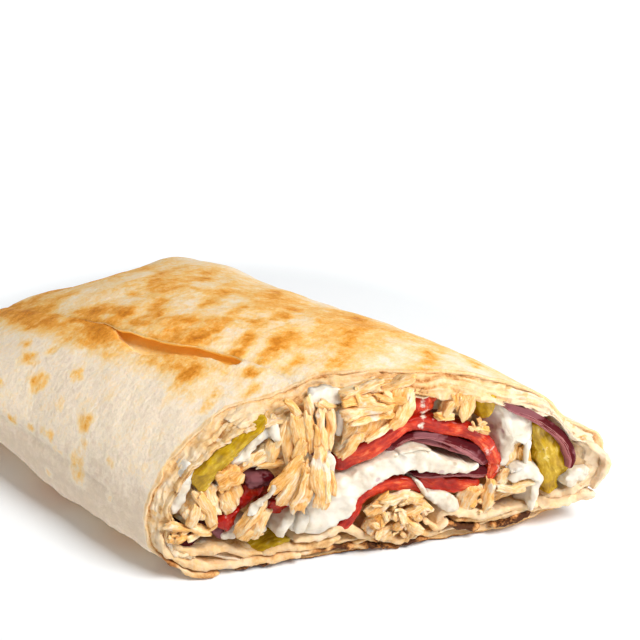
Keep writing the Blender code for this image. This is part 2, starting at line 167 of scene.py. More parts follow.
# %% [markdown]
# ## Repeatable unevenness
#
# Food is never smooth. Every lump, crinkle and ragged edge below comes from one noise function:
# random numbers on a grid of cells, blended smoothly in between. The numbers come from
# scrambling the cell's own place, so each run gives the same wrap.

# %% Noise in space
NOISE_TURN = np.array([[0.36, 0.48, -0.8], [-0.8, 0.6, 0.0], [0.48, 0.64, 0.6]])


def cell_value(i, j, k, seed):
    """Number from -1 to 1 for each whole-number cell, made by scrambling its place."""
    h = (i * 73856093) ^ (j * 19349663) ^ (k * 83492791) ^ (seed * 265443576)
    h = h & 0xFFFFFFFF
    h = ((h ^ (h >> 15)) * 739982445) & 0xFFFFFFFF
    h = ((h ^ (h >> 12)) * 695872825) & 0xFFFFFFFF
    return ((h ^ (h >> 15)) & 0xFFFF) / 32767.5 - 1.0


def noise(points, size, seed=0):
    """Smooth unevenness from -1 to 1 with features about a size across."""
    q = (points @ NOISE_TURN.T) / size + 51.3 + seed * 7.77
    base = np.floor(q)
    f = q - base
    w = f * f * f * (f * (6 * f - 15) + 10)
    i, j, k = (base[..., n].astype(np.int64) for n in range(3))
    total = 0.0
    for a in (0, 1):
        wa = w[..., 0] if a else 1 - w[..., 0]
        for b in (0, 1):
            wb = w[..., 1] if b else 1 - w[..., 1]
            for c in (0, 1):
                wc = w[..., 2] if c else 1 - w[..., 2]
                total = total + wa * wb * wc * cell_value(i + a, j + b, k + c, seed)
    return total


def rough(points, size, layers=3, seed=0):
    """Noise with finer noise on it, each layer half as strong and half as large."""
    return sum(0.5 ** n * noise(points, size / 2 ** n, seed + 31 * n) for n in range(layers))


def wander(points, amount, size, seed=0):
    """Points pushed about in every direction by smooth noise."""
    push = np.stack([rough(points, size, 2, seed + 5 + 11 * n) for n in range(3)], axis=-1)
    return points + amount * push


print("noise at the origin:", round(float(noise(np.zeros(3), 5.0)), 3))

# %% [markdown]
# ## From grids to meshes
#
# Two kinds of closed skin are enough for the whole wrap. A *tube* is a row of rings, closed with a
# fan at each end: pieces of filling. A *sheet* is two faces on one grid, joined along its four
# edges: bread. Named marks, such as how toasted each point is, ride along as attributes that
# the materials read.

# %% Directions off a surface


def unit(vectors):
    """Vectors made one long."""
    return vectors / (np.linalg.norm(vectors, axis=-1, keepdims=True) + 1e-9)


def ring_normals(grid):
    """Outward directions of a grid of rings: across the grid's two ways, pointing off the ring."""
    ahead = np.gradient(grid, axis=0)
    around = np.roll(grid, -1, axis=1) - np.roll(grid, 1, axis=1)
    normal = unit(np.cross(around, ahead))
    middle = grid.mean(axis=1, keepdims=True)
    return normal * np.sign(np.sum(normal * (grid - middle)) + 1e-9)


def face_normals(grid, towards):
    """Directions square to an open grid, turned as a whole to the side that a direction points to."""
    normal = unit(np.cross(np.gradient(grid, axis=0), np.gradient(grid, axis=1)))
    return normal * np.sign(np.sum(normal * towards))


print("direction of (3, 0, 4):", unit(np.array([3.0, 0.0, 4.0])).round(2))

# %% Tubes and sheets


def outwards(points, quads, tris):
    """Faces turned so that the skin's volume counts as positive."""
    a, b, c, d = (points[quads[:, n]] for n in range(4))
    volume = np.sum(a * np.cross(b, c)) + np.sum(a * np.cross(c, d))
    if len(tris):
        a, b, c = (points[tris[:, n]] for n in range(3))
        volume += np.sum(a * np.cross(b, c))
    return (quads, tris) if volume > 0 else (quads[:, ::-1], tris[:, ::-1])


def tube(grid, **marks):
    """Closed skin over rings of points, with a fan around the middle of each end ring."""
    rows, cols = grid.shape[:2]
    index = np.arange(rows * cols).reshape(rows, cols)
    turned = np.roll(index, -1, axis=1)
    quads = np.stack([index[:-1], turned[:-1], turned[1:], index[1:]], axis=-1).reshape(-1, 4)
    points = np.vstack([grid.reshape(-1, 3), grid[0].mean(axis=0), grid[-1].mean(axis=0)])
    first, last = rows * cols, rows * cols + 1
    tris = np.vstack([
        np.stack([np.full(cols, first), turned[0], index[0]], axis=-1),
        np.stack([np.full(cols, last), index[-1], turned[-1]], axis=-1)])
    quads, tris = outwards(points, quads, tris)
    values = {}
    for name, mark in marks.items():
        mark = np.broadcast_to(mark, (rows, cols))
        values[name] = np.concatenate([mark.ravel(), [mark[0].mean(), mark[-1].mean()]])
    return {"points": points, "quads": quads, "tris": tris, "marks": values}


def sheet(outer, inner, **marks):
    """Closed skin of a sheet whose two faces lie on one grid. A mark is one grid or a pair."""
    rows, cols = outer.shape[:2]
    top = np.arange(rows * cols).reshape(rows, cols)
    low = top + rows * cols

    def cells(grid):
        return np.stack([grid[:-1, :-1], grid[:-1, 1:], grid[1:, 1:], grid[1:, :-1]], axis=-1)

    def wall(first, second):
        return np.stack([first[:-1], first[1:], second[1:], second[:-1]], axis=-1)

    quads = np.vstack([
        cells(top).reshape(-1, 4), cells(low).reshape(-1, 4)[:, ::-1],
        wall(low[0], top[0]), wall(top[-1], low[-1]),
        wall(top[:, 0], low[:, 0]), wall(low[:, -1], top[:, -1])])
    points = np.vstack([outer.reshape(-1, 3), inner.reshape(-1, 3)])
    quads, tris = outwards(points, quads, np.zeros((0, 3), int))
    values = {}
    for name, mark in marks.items():
        pair = mark if isinstance(mark, tuple) else (mark, mark)
        values[name] = np.concatenate([np.broadcast_to(m, (rows, cols)).ravel() for m in pair])
    return {"points": points, "quads": quads, "tris": tris, "marks": values}

# %% Pieces made from skins
TABLE_GAP = 0.02


def into_scene(item):
    """Object shown in the scene."""
    bpy.context.scene.collection.objects.link(item)


def make_piece(name, skins, look, nodes=()):
    """One object from closed skins, above the table: it rides on the part and replaces CAD nodes."""
    points = np.vstack([s["points"] for s in skins])
    points[:, 2] = np.maximum(points[:, 2], TABLE_GAP)
    faces, offset = [], 0
    for skin in skins:
        faces += (skin["quads"] + offset).tolist() + (skin["tris"] + offset).tolist()
        offset += len(skin["points"])
    mesh = bpy.data.meshes.new(name)
    mesh.from_pydata((points * MM).tolist(), [], faces)
    for mark in skins[0]["marks"]:
        values = np.concatenate([s["marks"][mark] for s in skins])
        mesh.attributes.new(mark, "FLOAT", "POINT").data.foreach_set("value", values)
    mesh.shade_smooth()
    item = bpy.data.objects.new(name, mesh)
    into_scene(item)
    mesh.materials.append(look)
    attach(item, "root")
    if nodes:
        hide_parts(*nodes)
    print(f"{name}: {sum(len(f) - 2 for f in faces)} triangles")


def make_pieces(table, look, ending=""):
    """Object for each entry of a table, in place of the CAD node of that name if there is one."""
    for name, skins in table.items():
        make_piece(name + ending, skins, look, [name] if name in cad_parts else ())

# %% [markdown]
# ## Shared effects
#
# Node groups hold what more than one food needs. *Mottle* is uneven colour, *Strands* the same
# drawn out in a piece's own directions like fibres, *Fine relief* a bump of two sizes, and
# *Sauce film* the white smears that cling to everything. They give out masks, values and
# normals only; each food keeps its own Principled shader.

# %% Adding and linking nodes


def new_group(name, inputs, outputs):
    """Empty node group with named sockets; inputs are (name, kind, default)."""
    group = bpy.data.node_groups.new(name, "ShaderNodeTree")
    print("node group:", name)
    for label, kind, default in inputs:
        socket = group.interface.new_socket(label, in_out="INPUT", socket_type="NodeSocket" + kind)
        if default is not None:
            socket.default_value = default
    for label, kind in outputs:
        group.interface.new_socket(label, in_out="OUTPUT", socket_type="NodeSocket" + kind)
    return group, group.nodes.new("NodeGroupInput"), group.nodes.new("NodeGroupOutput")


def add(tree, kind, sources=None, **settings):
    """Node of a kind, its settings set and its inputs linked or given values by name or number."""
    node = tree.nodes.new("ShaderNode" + kind)
    for key, value in settings.items():
        setattr(node, key, value)
    for key, value in (sources or {}).items():
        if isinstance(value, bpy.types.NodeSocket):
            tree.links.new(value, node.inputs[key])
        else:
            node.inputs[key].default_value = value
    return node

# %% Sums and masks


def math(tree, operation, a, b=0.0, clamp=False):
    """Result of one sum on values or sockets."""
    return add(tree, "Math", {0: a, 1: b}, operation=operation, use_clamp=clamp).outputs[0]


def times(tree, a, b):
    """Product of two values."""
    return math(tree, "MULTIPLY", a, b)


def plus(tree, value, other, weight, centre=0.0):
    """Value with a weighted share of another added, which counts from its centre."""
    if centre:
        other = math(tree, "SUBTRACT", other, centre)
    return math(tree, "ADD", value, times(tree, other, weight))


def between(tree, value, low, high, to_low=0.0, to_high=1.0):
    """Value stretched smoothly from low..high to another range, and held at its ends."""
    sources = {"Value": value, "From Min": low, "From Max": high, "To Min": to_low,
               "To Max": to_high}
    return add(tree, "MapRange", sources, interpolation_type="SMOOTHSTEP").outputs["Result"]


def mark(tree, name):
    """Value of one of the piece's own marks."""
    return add(tree, "Attribute", attribute_name=name).outputs["Fac"]

# %% Colours


def blend(tree, share, first, second):
    """Two colours mixed by a share."""
    node = add(tree, "Mix", {"Factor": share}, data_type="RGBA")
    for socket, value in ((node.inputs[6], first), (node.inputs[7], second)):
        if isinstance(value, bpy.types.NodeSocket):
            tree.links.new(value, socket)
        else:
            socket.default_value = (*value, 1.0)
    return node.outputs[2]


def ramp(tree, value, stops):
    """Colour ramp over stops of (place, colour)."""
    node = add(tree, "ValToRGB", {"Fac": value})
    band = node.color_ramp
    while len(band.elements) < len(stops):
        band.elements.new(0.5)
    for element, (place, colour) in zip(band.elements, stops):
        element.position = place
        element.color = (*colour, 1.0)
    return node.outputs["Color"]

# %% Mottle


def mottle_group():
    """Uneven tone: layered noise, spread to fill 0 to 1."""
    group, given, result = new_group(
        "Mottle", [("Vector", "Vector", None), ("Scale", "Float", 200.0),
                   ("Detail", "Float", 4.0)], [("Value", "Float")])
    sources = {key: given.outputs[key] for key in ("Vector", "Scale", "Detail")}
    cloud = add(group, "TexNoise", {**sources, "Roughness": 0.6})
    group.links.new(between(group, cloud.outputs["Fac"], 0.3, 0.7), result.inputs["Value"])
    return group


def mottle(tree, vector, scale, detail=4.0):
    """Value of the Mottle group at a place."""
    sources = {"Vector": vector, "Scale": scale, "Detail": detail}
    return add(tree, "Group", sources, node_tree=MOTTLE).outputs["Value"]


MOTTLE = mottle_group()

# %% Strands


def strands_group():
    """Mottle drawn out along, across and in front of a piece by three stretches."""
    group, given, result = new_group(
        "Strands", [("Stretch", "Vector", None), ("Scale", "Float", 1.5),
                    ("Detail", "Float", 3.0)], [("Value", "Float")])
    own = add(group, "CombineXYZ", {"X": mark(group, "along"), "Y": mark(group, "across"),
                                    "Z": mark(group, "front")}).outputs["Vector"]
    drawn = add(group, "VectorMath", {0: own, 1: given.outputs["Stretch"]}, operation="MULTIPLY")
    lines = mottle(group, drawn.outputs["Vector"], given.outputs["Scale"], given.outputs["Detail"])
    group.links.new(lines, result.inputs["Value"])
    return group


def strands(tree, stretch, scale, detail=3.0):
    """Value of the Strands group."""
    sources = {"Stretch": stretch, "Scale": scale, "Detail": detail}
    return add(tree, "Group", sources, node_tree=STRANDS).outputs["Value"]


STRANDS = strands_group()

# %% Fine relief


def relief_group():
    """Bump from coarse and fine noise together."""
    group, given, result = new_group(
        "Fine relief", [("Vector", "Vector", None), ("Scale", "Float", 900.0),
                        ("Strength", "Float", 0.5), ("Extra", "Float", 0.0)],
        [("Normal", "Vector")])
    vector, scale = given.outputs["Vector"], given.outputs["Scale"]
    coarse = add(group, "TexNoise", {"Vector": vector, "Scale": scale, "Detail": 3.0,
                                     "Roughness": 0.6})
    fine = add(group, "TexNoise", {"Vector": vector, "Scale": times(group, scale, 3.7),
                                   "Detail": 2.0})
    height = add(group, "Math", {0: fine.outputs["Fac"], 1: 0.35, 2: coarse.outputs["Fac"]},
                 operation="MULTIPLY_ADD").outputs[0]
    height = math(group, "ADD", height, given.outputs["Extra"])
    bump = add(group, "Bump", {"Height": height, "Strength": given.outputs["Strength"],
                               "Distance": 0.0004})
    group.links.new(bump.outputs["Normal"], result.inputs["Normal"])
    return group


def relief(tree, vector, scale, strength, extra=0.0):
    """Normal of the Fine relief group at a place, with an extra height of the food's own."""
    sources = {"Vector": vector, "Scale": scale, "Strength": strength, "Extra": extra}
    return add(tree, "Group", sources, node_tree=RELIEF).outputs["Normal"]


RELIEF = relief_group()

# %% Sauce film
SAUCE_WHITE = (0.86, 0.78, 0.66)


def film_group():
    """Smears of sauce: large soft noise cut off to patches, with ragged fine edges."""
    group, given, result = new_group(
        "Sauce film", [("Vector", "Vector", None), ("Amount", "Float", 0.3)], [("Mask", "Float")])
    soft = add(group, "TexNoise", {"Vector": given.outputs["Vector"], "Scale": 260.0,
                                   "Detail": 4.0, "Roughness": 0.55}).outputs["Fac"]
    level = plus(group, soft, given.outputs["Amount"], 0.5)
    group.links.new(between(group, level, 0.62, 0.72), result.inputs["Mask"])
    return group


def sauced(tree, place, colour, amount, cover=1.0):
    """Colour of a food under a Sauce film, which may cover it in part."""
    film = add(tree, "Group", {"Vector": place, "Amount": amount}, node_tree=FILM).outputs["Mask"]
    share = film if cover == 1.0 else times(tree, film, cover)
    return blend(tree, share, colour, SAUCE_WHITE)


FILM = film_group()

# %% Materials


def shader_socket(shader, key):
    """Socket of a shader by its name in small letters with underscores."""
    return shader.inputs[key.replace("_", " ").title().replace("Ior", "IOR")]


def new_look(name, **constants):
    """Material with a Principled shader whose unchanging sockets are set here."""
    look = bpy.data.materials.new(name)
    print("material:", name)
    look.use_nodes = True
    shader = look.node_tree.nodes["Principled BSDF"]
    for key, value in constants.items():
        shader_socket(shader, key).default_value = value
    place = look.node_tree.nodes.new("ShaderNodeTexCoord").outputs["Object"]
    return look, look.node_tree, shader, place


def link(tree, shader, **sources):
    """Results linked to the shader's sockets."""
    for key, value in sources.items():
        tree.links.new(value, shader_socket(shader, key))

# %% [markdown]
# ## Toasted flatbread
#
# Floury dough is greyish cream. Heat turns it gold, then orange brown, then almost black. The
# *toast* mark says where, and noise breaks its edges up, so that one ramp of real bread
# colours gives every stage; in the torn crumb and in the gaps behind the cut the same mark also
# paints shade. Cut bread keeps paler colours at the same heat, and in the open fold the bread is
# orange, with painted shade deeper under the flap and a painted glow for light through the sheet.

# %% Bread material


def bread_look():
    """Matte dough toasted by its mark, which also paints shade in the crumb; flour grain; painted glow
    in the fold.
    """
    look, tree, shader, place = new_look(
        "toasted_flatbread", subsurface_weight=0.15, subsurface_scale=0.002,
        subsurface_radius=(1.0, 0.55, 0.25), specular_ior_level=0.15, emission_strength=0.25)
    grain = mottle(tree, place, 2100.0, 2.0)
    speckle = mottle(tree, place, 700.0, 4.0)
    patch_tone = mottle(tree, place, 250.0, 5.0)
    toast, glow = mark(tree, "toast"), mark(tree, "glow")
    uneven = times(tree, math(tree, "SUBTRACT", patch_tone, 0.5), 0.5)
    uneven = plus(tree, uneven, speckle, 0.5, 0.5)
    uneven = plus(tree, uneven, grain, 0.3, 0.5)
    uneven = times(tree, uneven, math(tree, "ADD", times(tree, toast, 0.75), 0.05))
    heat = math(tree, "ADD", toast, uneven, clamp=True)
    skin = ramp(tree, heat, [(0.0, (0.82, 0.66, 0.5)), (0.05, (0.94, 0.79, 0.62)),
                             (0.1, (0.96, 0.71, 0.42)), (0.2, (0.95, 0.56, 0.18)),
                             (0.32, (0.88, 0.38, 0.06)), (0.48, (0.7, 0.25, 0.02)),
                             (0.75, (0.42, 0.13, 0.015)), (1.0, (0.06, 0.018, 0.006))])
    floury = times(tree, between(tree, toast, 0.1, 0.0), between(tree, speckle, 0.7, 0.1))
    skin = blend(tree, times(tree, floury, 0.2), skin, (0.64, 0.51, 0.38))
    dough = ramp(tree, heat, [(0.0, (0.83, 0.67, 0.5)), (0.18, (0.83, 0.61, 0.38)),
                              (0.42, (0.78, 0.48, 0.21)), (0.68, (0.5, 0.21, 0.06)),
                              (1.0, (0.08, 0.025, 0.008))])
    colour = blend(tree, mark(tree, "crumb"), skin, dough)
    # painted light and shade: in the open fold the orange deepens under the flap, and an emission glow
    # stands for light through the sheet
    lit = plus(tree, glow, patch_tone, 0.3, 0.5)
    inside = ramp(tree, lit, [(0.2, (0.96, 0.74, 0.4)), (0.6, (0.94, 0.58, 0.16)),
                              (1.0, (0.82, 0.41, 0.05))])
    colour = blend(tree, between(tree, glow, 0.1, 0.35), colour, inside)
    drawn = add(tree, "VectorMath", {0: place, 1: (0.7, 1.6, 0.8)}, operation="MULTIPLY")
    wrinkles = times(tree, mottle(tree, drawn.outputs["Vector"], 480.0, 4.0), 0.25)
    # painted glow: the open fold shines orange by emission
    link(tree, shader, base_color=colour, roughness=between(tree, heat, 0.1, 0.7, 0.85, 0.62),
         emission_color=blend(tree, glow, (0.0, 0.0, 0.0), (0.62, 0.33, 0.04)),
         normal=relief(tree, place, 900.0, 0.6, wrinkles))
    return look


bread = bread_look()

# %% [markdown]
# ## Bread: one thin sheet, rolled
#
# The flatbread is about a millimetre thick. Its outer edge lies on top, left of the middle, and
# stands a little open there; the sheet then runs once round the roll, slips under its own edge
# and goes on inside as a second turn. A grid fits this well: one way is the angle around the
# roll, the other the way from the cut to the folded end. The rows lie close together at the
# cut, where the rim is ragged, and further apart behind it.

# %% Ways to lay bread on the outline
SHEET = 1.2
TURN_GAP = 1.35
FLAP_ANGLE, TUCK_ANGLE = 109.0, -264.0
INNER_START_ANGLE, INNER_END_ANGLE = -262.0, -506.0
AXIS_LEVEL = 13.0
FULL_UNTIL = BREAD_END - END_ROUNDING


def turn_depth(angle):
    """Depth of the sheet under the outline: 0 on the outer turn, one layer down inside."""
    return TURN_GAP * smooth_step(-angle, 195.0, 246.0)


def way_round(start, stop):
    """Fine angles between two angles, and how far the section's outline has run at each."""
    fine = np.linspace(start, stop, 4000)
    x, z = outline(fine, np.full(fine.shape, -20.0))
    return fine, np.concatenate([[0.0], np.cumsum(np.hypot(np.diff(x), np.diff(z)))])


def even_angles(start, stop, count):
    """Angles that cut the section's outline into even steps."""
    fine, run = way_round(start, stop)
    return np.interp(np.linspace(0.0, run[-1], count), run, fine)


def crowded(count, pull):
    """Numbers from 0 to 1 that crowd together near 0."""
    return np.expm1(pull * np.linspace(0.0, 1.0, count)) / np.expm1(pull)


def lay(angle, share, depth, recess, sideways=0.0, back=FULL_UNTIL):
    """Points under the outline, at a share of the way from the ragged cut to y = back."""
    y = np.full(np.broadcast(angle, share).shape, -LENGTH / 2)
    for _ in range(8):
        x, z = inset(angle, y, depth)
        x = x - sideways
        front = cut_y(x) + recess / np.cos(CUT_ANGLE)
        y = front + (back - front) * share
    return np.stack([x, y, z], axis=-1)


print("once round the roll:", way_round(0.0, 360.0)[1][-1].round(1), "mm")

# %% The ragged rim of the skin
# How far the torn rim stands back from the cut and how wide it is, by degrees below the right
RIM_DEGREES = [0, 20, 60, 140, 160, 180, 200, 215, 228, 236, 243, 250, 258, 265, 285, 300, 315,
               335, 350, 360]
RIM_SETBACKS = [1.2, 0.4, 0.2, 0.3, 0.8, 1, 1.3, 2.4, 3.7, 4.6, 3.2, 3.1, 4.2, 3.5, 2.4, 1.4, 1.6,
                2.2, 1.8, 1.2]
RIM_WIDTHS = [3.4, 1.2, 1.2, 1.6, 2.4, 2.4, 2, 1.7, 1.5, 1.8, 2.4, 2.9, 3.8, 3.4, 3.3, 3.6, 3.8,
              3.8, 3.6, 3.4]


def rim_setback(angle):
    """How far behind the cut the toasted skin ends."""
    return np.interp(np.mod(-angle, 360.0), RIM_DEGREES, RIM_SETBACKS)


def behind_cut(points):
    """How far points lie behind the slanted cut, square to it."""
    return (points[..., 1] - cut_y(points[..., 0])) * np.cos(CUT_ANGLE)


def near_cut(behind, reach):
    """1 at the cut and in front of it, fading over a reach behind it."""
    return np.exp(-np.maximum(behind, 0.0) / reach)


print("the skin ends at most", max(RIM_SETBACKS), "mm behind the cut")

# %% Lumps on the skin
# Height, width and seed of the lumps on the skin
SWELLS = [(0.6, 27.0, 3), (0.22, 8.0, 9), (0.08, 2.8, 10)]


def off_axis(points):
    """Directions from the roll's axis to points, square to the axis."""
    return (points - np.array([0.0, 0.0, AXIS_LEVEL])) * np.array([1.0, 0.0, 1.0])


def skin_relief(points):
    """Height of the lumps on the skin: wide swells over the filling, with finer ones on them."""
    x, y, z = (points[..., n] for n in range(3))
    swell = sum(height * rough(points, size, 2, seed) for height, size, seed in SWELLS)
    # a long crease on the left side
    crease = -0.5 * ridge(z - 15.0 - 0.04 * y, 0.0, 0.9) * smooth_step(-x, 28.0, 33.0)
    crease = crease * window(y, -16.0, -6.0, 22.0, 34.0)
    # towards the end the top sinks in the middle and is full on the right
    above = smooth_step(z, 8.0, 15.0)
    sunk = 2.6 * ridge(x, 12.0, 15.0) * smooth_step(y, 38.0, 52.0)
    full = 2.0 * ridge(x, 29.0, 8.0) * window(y, 8.0, 30.0, 42.0, 54.0)
    # near the cut the right shoulder is pressed down
    shoulder = ridge(x, 32.5, 4.5) * smooth_step(z, 17.0, 22.0)
    swell -= 3.2 * shoulder * (1 - smooth_step(y, -50.0, -22.0))
    # the end was folded in from both sides: two slanting steps
    first = smooth_step(z - 7.0 - 0.22 * x, -0.5, 0.5) * smooth_step(y, 52.0, 60.0)
    second = smooth_step(z - 8.5 + 0.3 * x, -0.5, 0.5) * smooth_step(y, 58.0, 65.0)
    return swell + crease + above * (full - sunk) - 0.8 * first - 0.6 * second


print("lumps on top of the middle:", skin_relief(np.array([0.0, 0.0, 38.0])).round(2), "mm")

# %% [markdown]
# ## The outer turn and the folded end
#
# The sheet's outer face carries the toasting. Golden patches lie where the roll's top touched the
# grill, brown spots where a bubble scorched, and the sides stay floury. Each point gets marks:
# *toast* from pale to brown, *crumb* where the sheet is cut or its inside shows, and a painted glow
# in the open fold, where light comes through the bread. The spots are placed one by one on the side
# that is best seen and strewn at random elsewhere.

# %% The open outer edge
RUN_UNDER_EDGE = 184.5
FOLD_MIDDLE, FOLD_HALF = 3.0, 28.0
# Where the outer edge lies, in degrees past FLAP_ANGLE, how high it stands, and how far the open
# fold reaches back from it, at places along the roll
EDGE_Y = [-60, -23, -19, -14, -9.5, -3, 2, 8, 12, 18, 24, 30, 64]
EDGE_SHIFT = [-2, -1.6, -1, 0.8, 2.4, 4.2, 4.4, 3.8, 3.2, 3.4, 3.2, 3, 2]
EDGE_LIFT = [0, 0, 0.2, 0.5, 0.8, 1.1, 1.1, 0.9, 0.5, 0.25, 0.15, 0, 0]
FOLD_REACH = [0, 0.2, 1.2, 1.9, 3, 5.8, 6.5, 4.6, 1.6, 0.8, 0.6, 0, 0]
print("the edge stands open up to", max(EDGE_LIFT), "mm")

# %% Marks of the grill
# Marks on the unrolled sheet: run and y of both ends, half width, strength. The run is measured
# from the outer edge over the top; where it is negative, back from the tucked edge over the left.
TOAST_MARKS = [
    (4, 19.4, 4.6, 13.6, 1.6, 0.38), (4, 22.9, 4.2, 22.5, 1.5, 0.22),
    (17.6, 22.9, 27.3, 30, 1.7, 0.26), (12, 21.5, 12, 18.3, 1.3, 0.22),
    (10.9, 11.2, 6, 6.4, 1.6, 0.3), (2.9, 8.5, 2.9, 3.7, 0.8, 0.25),
    (3.2, -2, 0.1, -1.7, 1.8, 0.28), (7.1, -0.2, 7.1, -2.6, 1.1, 0.3),
    (6.2, -9.6, 6.2, -10.2, 1, 0.32), (2.6, -8.8, 2.6, -11.4, 1.8, 0.28),
    (16.8, -6.1, 6.9, -9.9, 1.3, 0.24), (6.9, -9.9, 2.4, -9.7, 1.2, 0.2),
    (12.7, -10.3, 12.4, -14, 0.9, 0.2), (6.3, -17.5, 0.8, -19.8, 1.5, 0.36),
    (13.1, -22.4, 6, -24.7, 1.7, 0.28), (6, -24.7, 2.7, -25.9, 1.7, 0.32),
    (6.1, -31, 2.6, -31.4, 1.3, 0.22), (14, -36, 4, -39, 1.6, 0.22),
    (26, -12, 17, -16, 1.6, 0.26), (28, -28, 17, -33, 1.6, 0.26), (30, -44, 18, -50, 1.6, 0.24),
    (24, 6, 14, 1, 1.6, 0.26), (38, -20, 31, -24, 1.6, 0.22), (36, 2, 29, -3, 1.6, 0.22),
    (34, 22, 27, 16, 1.6, 0.22), (40, -46, 33, -52, 1.6, 0.2),
    (-3.4, 42.3, -7.8, 33.7, 1.2, 0.48), (-2.8, 33.2, -0.7, 31, 0.9, 0.22),
    (-0.8, -19.2, -0.9, -19.4, 1.3, 0.36), (-0.9, -25.6, -0.9, -26.2, 1.5, 0.5),
    (-3.5, -29.2, -5.6, -29.5, 1.1, 0.2), (-8.6, -23, -11.6, -23.7, 1.3, 0.26),
    (-6.2, -14.6, -8, -15.1, 1.6, 0.5), (-9.5, -15.5, -10.5, -15.7, 3, 0.16),
    (-6.2, -11, -6.2, -3, 2.2, 0.22), (-2.8, 23.8, -2.8, 15.3, 0.8, 0.34),
    (-7.8, 20, -7.4, 6, 3, 0.14), (-6.4, 46.5, -6, 44.5, 3, 0.14),
    (-16.7, 24.6, -16.7, 22.4, 1.4, 0.34), (-23.6, 0.4, -23.6, 0, 1.4, 0.36),
    (-22.8, 8.7, -22.8, 8.3, 1.2, 0.18), (-32.4, 19.6, -32.4, 18.8, 1.1, 0.26),
    (-31.2, 14.1, -31.2, 13.7, 0.9, 0.2), (-29.9, 10.5, -30.1, 7, 0.8, 0.2),
    (-13.6, 29, -13.6, 28.2, 1.2, 0.2), (-12.9, 19.8, -12.9, 19, 1.2, 0.16),
    (-31.7, 5.4, -31.7, 5, 0.9, 0.18), (-32.4, -1.1, -35.7, -1.6, 1.9, 0.3),
    (-38.5, 7.6, -38.5, 7.2, 0.9, 0.18), (-29.4, -9.8, -29.4, -10, 0.9, 0.16),
    (-35.8, -11.1, -35.8, -11.3, 0.9, 0.16), (-28.4, -1.9, -28.4, -2.1, 0.9, 0.18)]
# Blisters with a brown rim: run, y, radius, strength
BLISTERS = [
    (-21.3, 17.5, 2.4, 0.3), (-16.1, 8.9, 1.6, 0.22), (-34, 26, 1.3, 0.2), (-26, 27, 1.2, 0.16)]
print("marks of the grill:", len(TOAST_MARKS), "and blisters:", len(BLISTERS))

# %% How strongly a mark shows
STREWN_SPOTS = 60
STREWN_RUNS, STREWN_YS = (48.0, 78.0), (-60.0, 64.0)


def strewn_spots():
    """Faint spots at random places on the side that has no marks of its own."""
    chance = np.random.default_rng(12)
    spots = []
    for _ in range(STREWN_SPOTS):
        run, y = chance.uniform(*STREWN_RUNS), chance.uniform(*STREWN_YS)
        half = chance.uniform(0.7, 1.9)
        far_y = y + chance.uniform(-2.0, 2.0)
        spots.append((run, y, run + half, far_y, half, chance.uniform(0.1, 0.34)))
    return spots


def sheet_distance(run, mark_run):
    """Run as this mark counts it: from the outer edge, or back from the tucked edge."""
    return run if mark_run >= 0 else run - RUN_UNDER_EDGE


def from_line(run, y, mark):
    """How strongly a straight mark shows at a point: full on its line, fading to its sides."""
    r0, y0, r1, y1, half, strength = mark
    run = sheet_distance(run, r0)
    length = np.hypot(r1 - r0, y1 - y0)
    tr, ty = (r1 - r0) / length, (y1 - y0) / length
    along = (run - r0) * tr + (y - y0) * ty
    side = (run - r0) * ty - (y - y0) * tr
    past = np.maximum(np.maximum(-along, along - length), 0.0)
    return strength * np.exp(-((side ** 2 + past ** 2) / half ** 2) ** 1.2)


def from_blister(run, y, blister):
    """Golden disc with a browner ring near its edge."""
    r0, y0, radius, strength = blister
    far = np.hypot(sheet_distance(run, r0) - r0, y - y0)
    disc, ring = np.exp(-(far / radius) ** 4), ridge(far, 0.8 * radius, 0.5)
    return strength * (0.7 * disc + 0.5 * ring)


print("widest strewn spot:", round(2 * max(spot[4] for spot in strewn_spots()), 1), "mm")

# %% How toasted each point is
# Brownest toast on the top and the sides; only the underside is scorched
BROWNEST_ABOVE = 0.46


def toasting(run, points, up):
    """How toasted the skin is, 0 floury to 1 scorched: soft patches on top, then the marks."""
    x, y = points[..., 0], points[..., 1]
    behind = behind_cut(points)
    patches = smooth_step(rough(wander(points, 3.0, 9.0, 4), 10.0, 4, 21), -0.7, 0.8)
    # the top met the grill, less so near the cut
    top = window(x, -24.0, -15.0, 20.0, 36.0) * smooth_step(up, 0.1, 0.8)
    toast = top * (0.05 + 0.155 * patches) * (0.45 + 0.55 * smooth_step(behind, 5.0, 22.0))
    # a golden band along the seam
    seam = ridge(x, -15.0, 4.0) * smooth_step(y, -22.0, -8.0) * (up > 0)
    toast += 0.11 * seam * (1 - 0.5 * smooth_step(y, 25.0, 50.0)) * (0.4 + patches)
    # more behind the middle, and a little wherever the skin faces up
    toast += 0.05 * top * smooth_step(y, -12.0, 22.0) * (0.2 + patches)
    toast += 0.05 * smooth_step(up, 0.0, 0.55)
    # the underside is browner, and scorched at the cut
    under = 1 - smooth_step(up, -0.95, -0.65)
    toast += under * (0.3 * patches + 0.12)
    toast += under * near_cut(behind, 2.5) * (0.2 + 0.5 * patches)
    # then the marks, with wandering edges
    run = run + 0.7 * rough(points, 3.0, 3, 14)
    y = y + 0.7 * rough(points, 3.0, 3, 15)
    marks = sum(from_line(run, y, mark) for mark in TOAST_MARKS + strewn_spots())
    marks = marks + sum(from_blister(run, y, blister) for blister in BLISTERS)
    ragged = np.clip(0.85 + 0.6 * rough(points, 1.7, 3, 8), 0.15, 1.4)
    toasted = toast + 0.8 * np.minimum(marks, 0.5) * ragged
    return np.where(up > -0.3, np.minimum(toasted, BROWNEST_ABOVE), toasted)


print("toast on top of the middle:", toasting(20.0, np.array([0.0, 0.0, 38.0]), 1.0).round(2))

# %% The grid of the outer turn
OUTER_COLUMNS, TUBE_ROWS, END_ROWS = 280, 118, 34
NEARLY_SHUT = 0.996


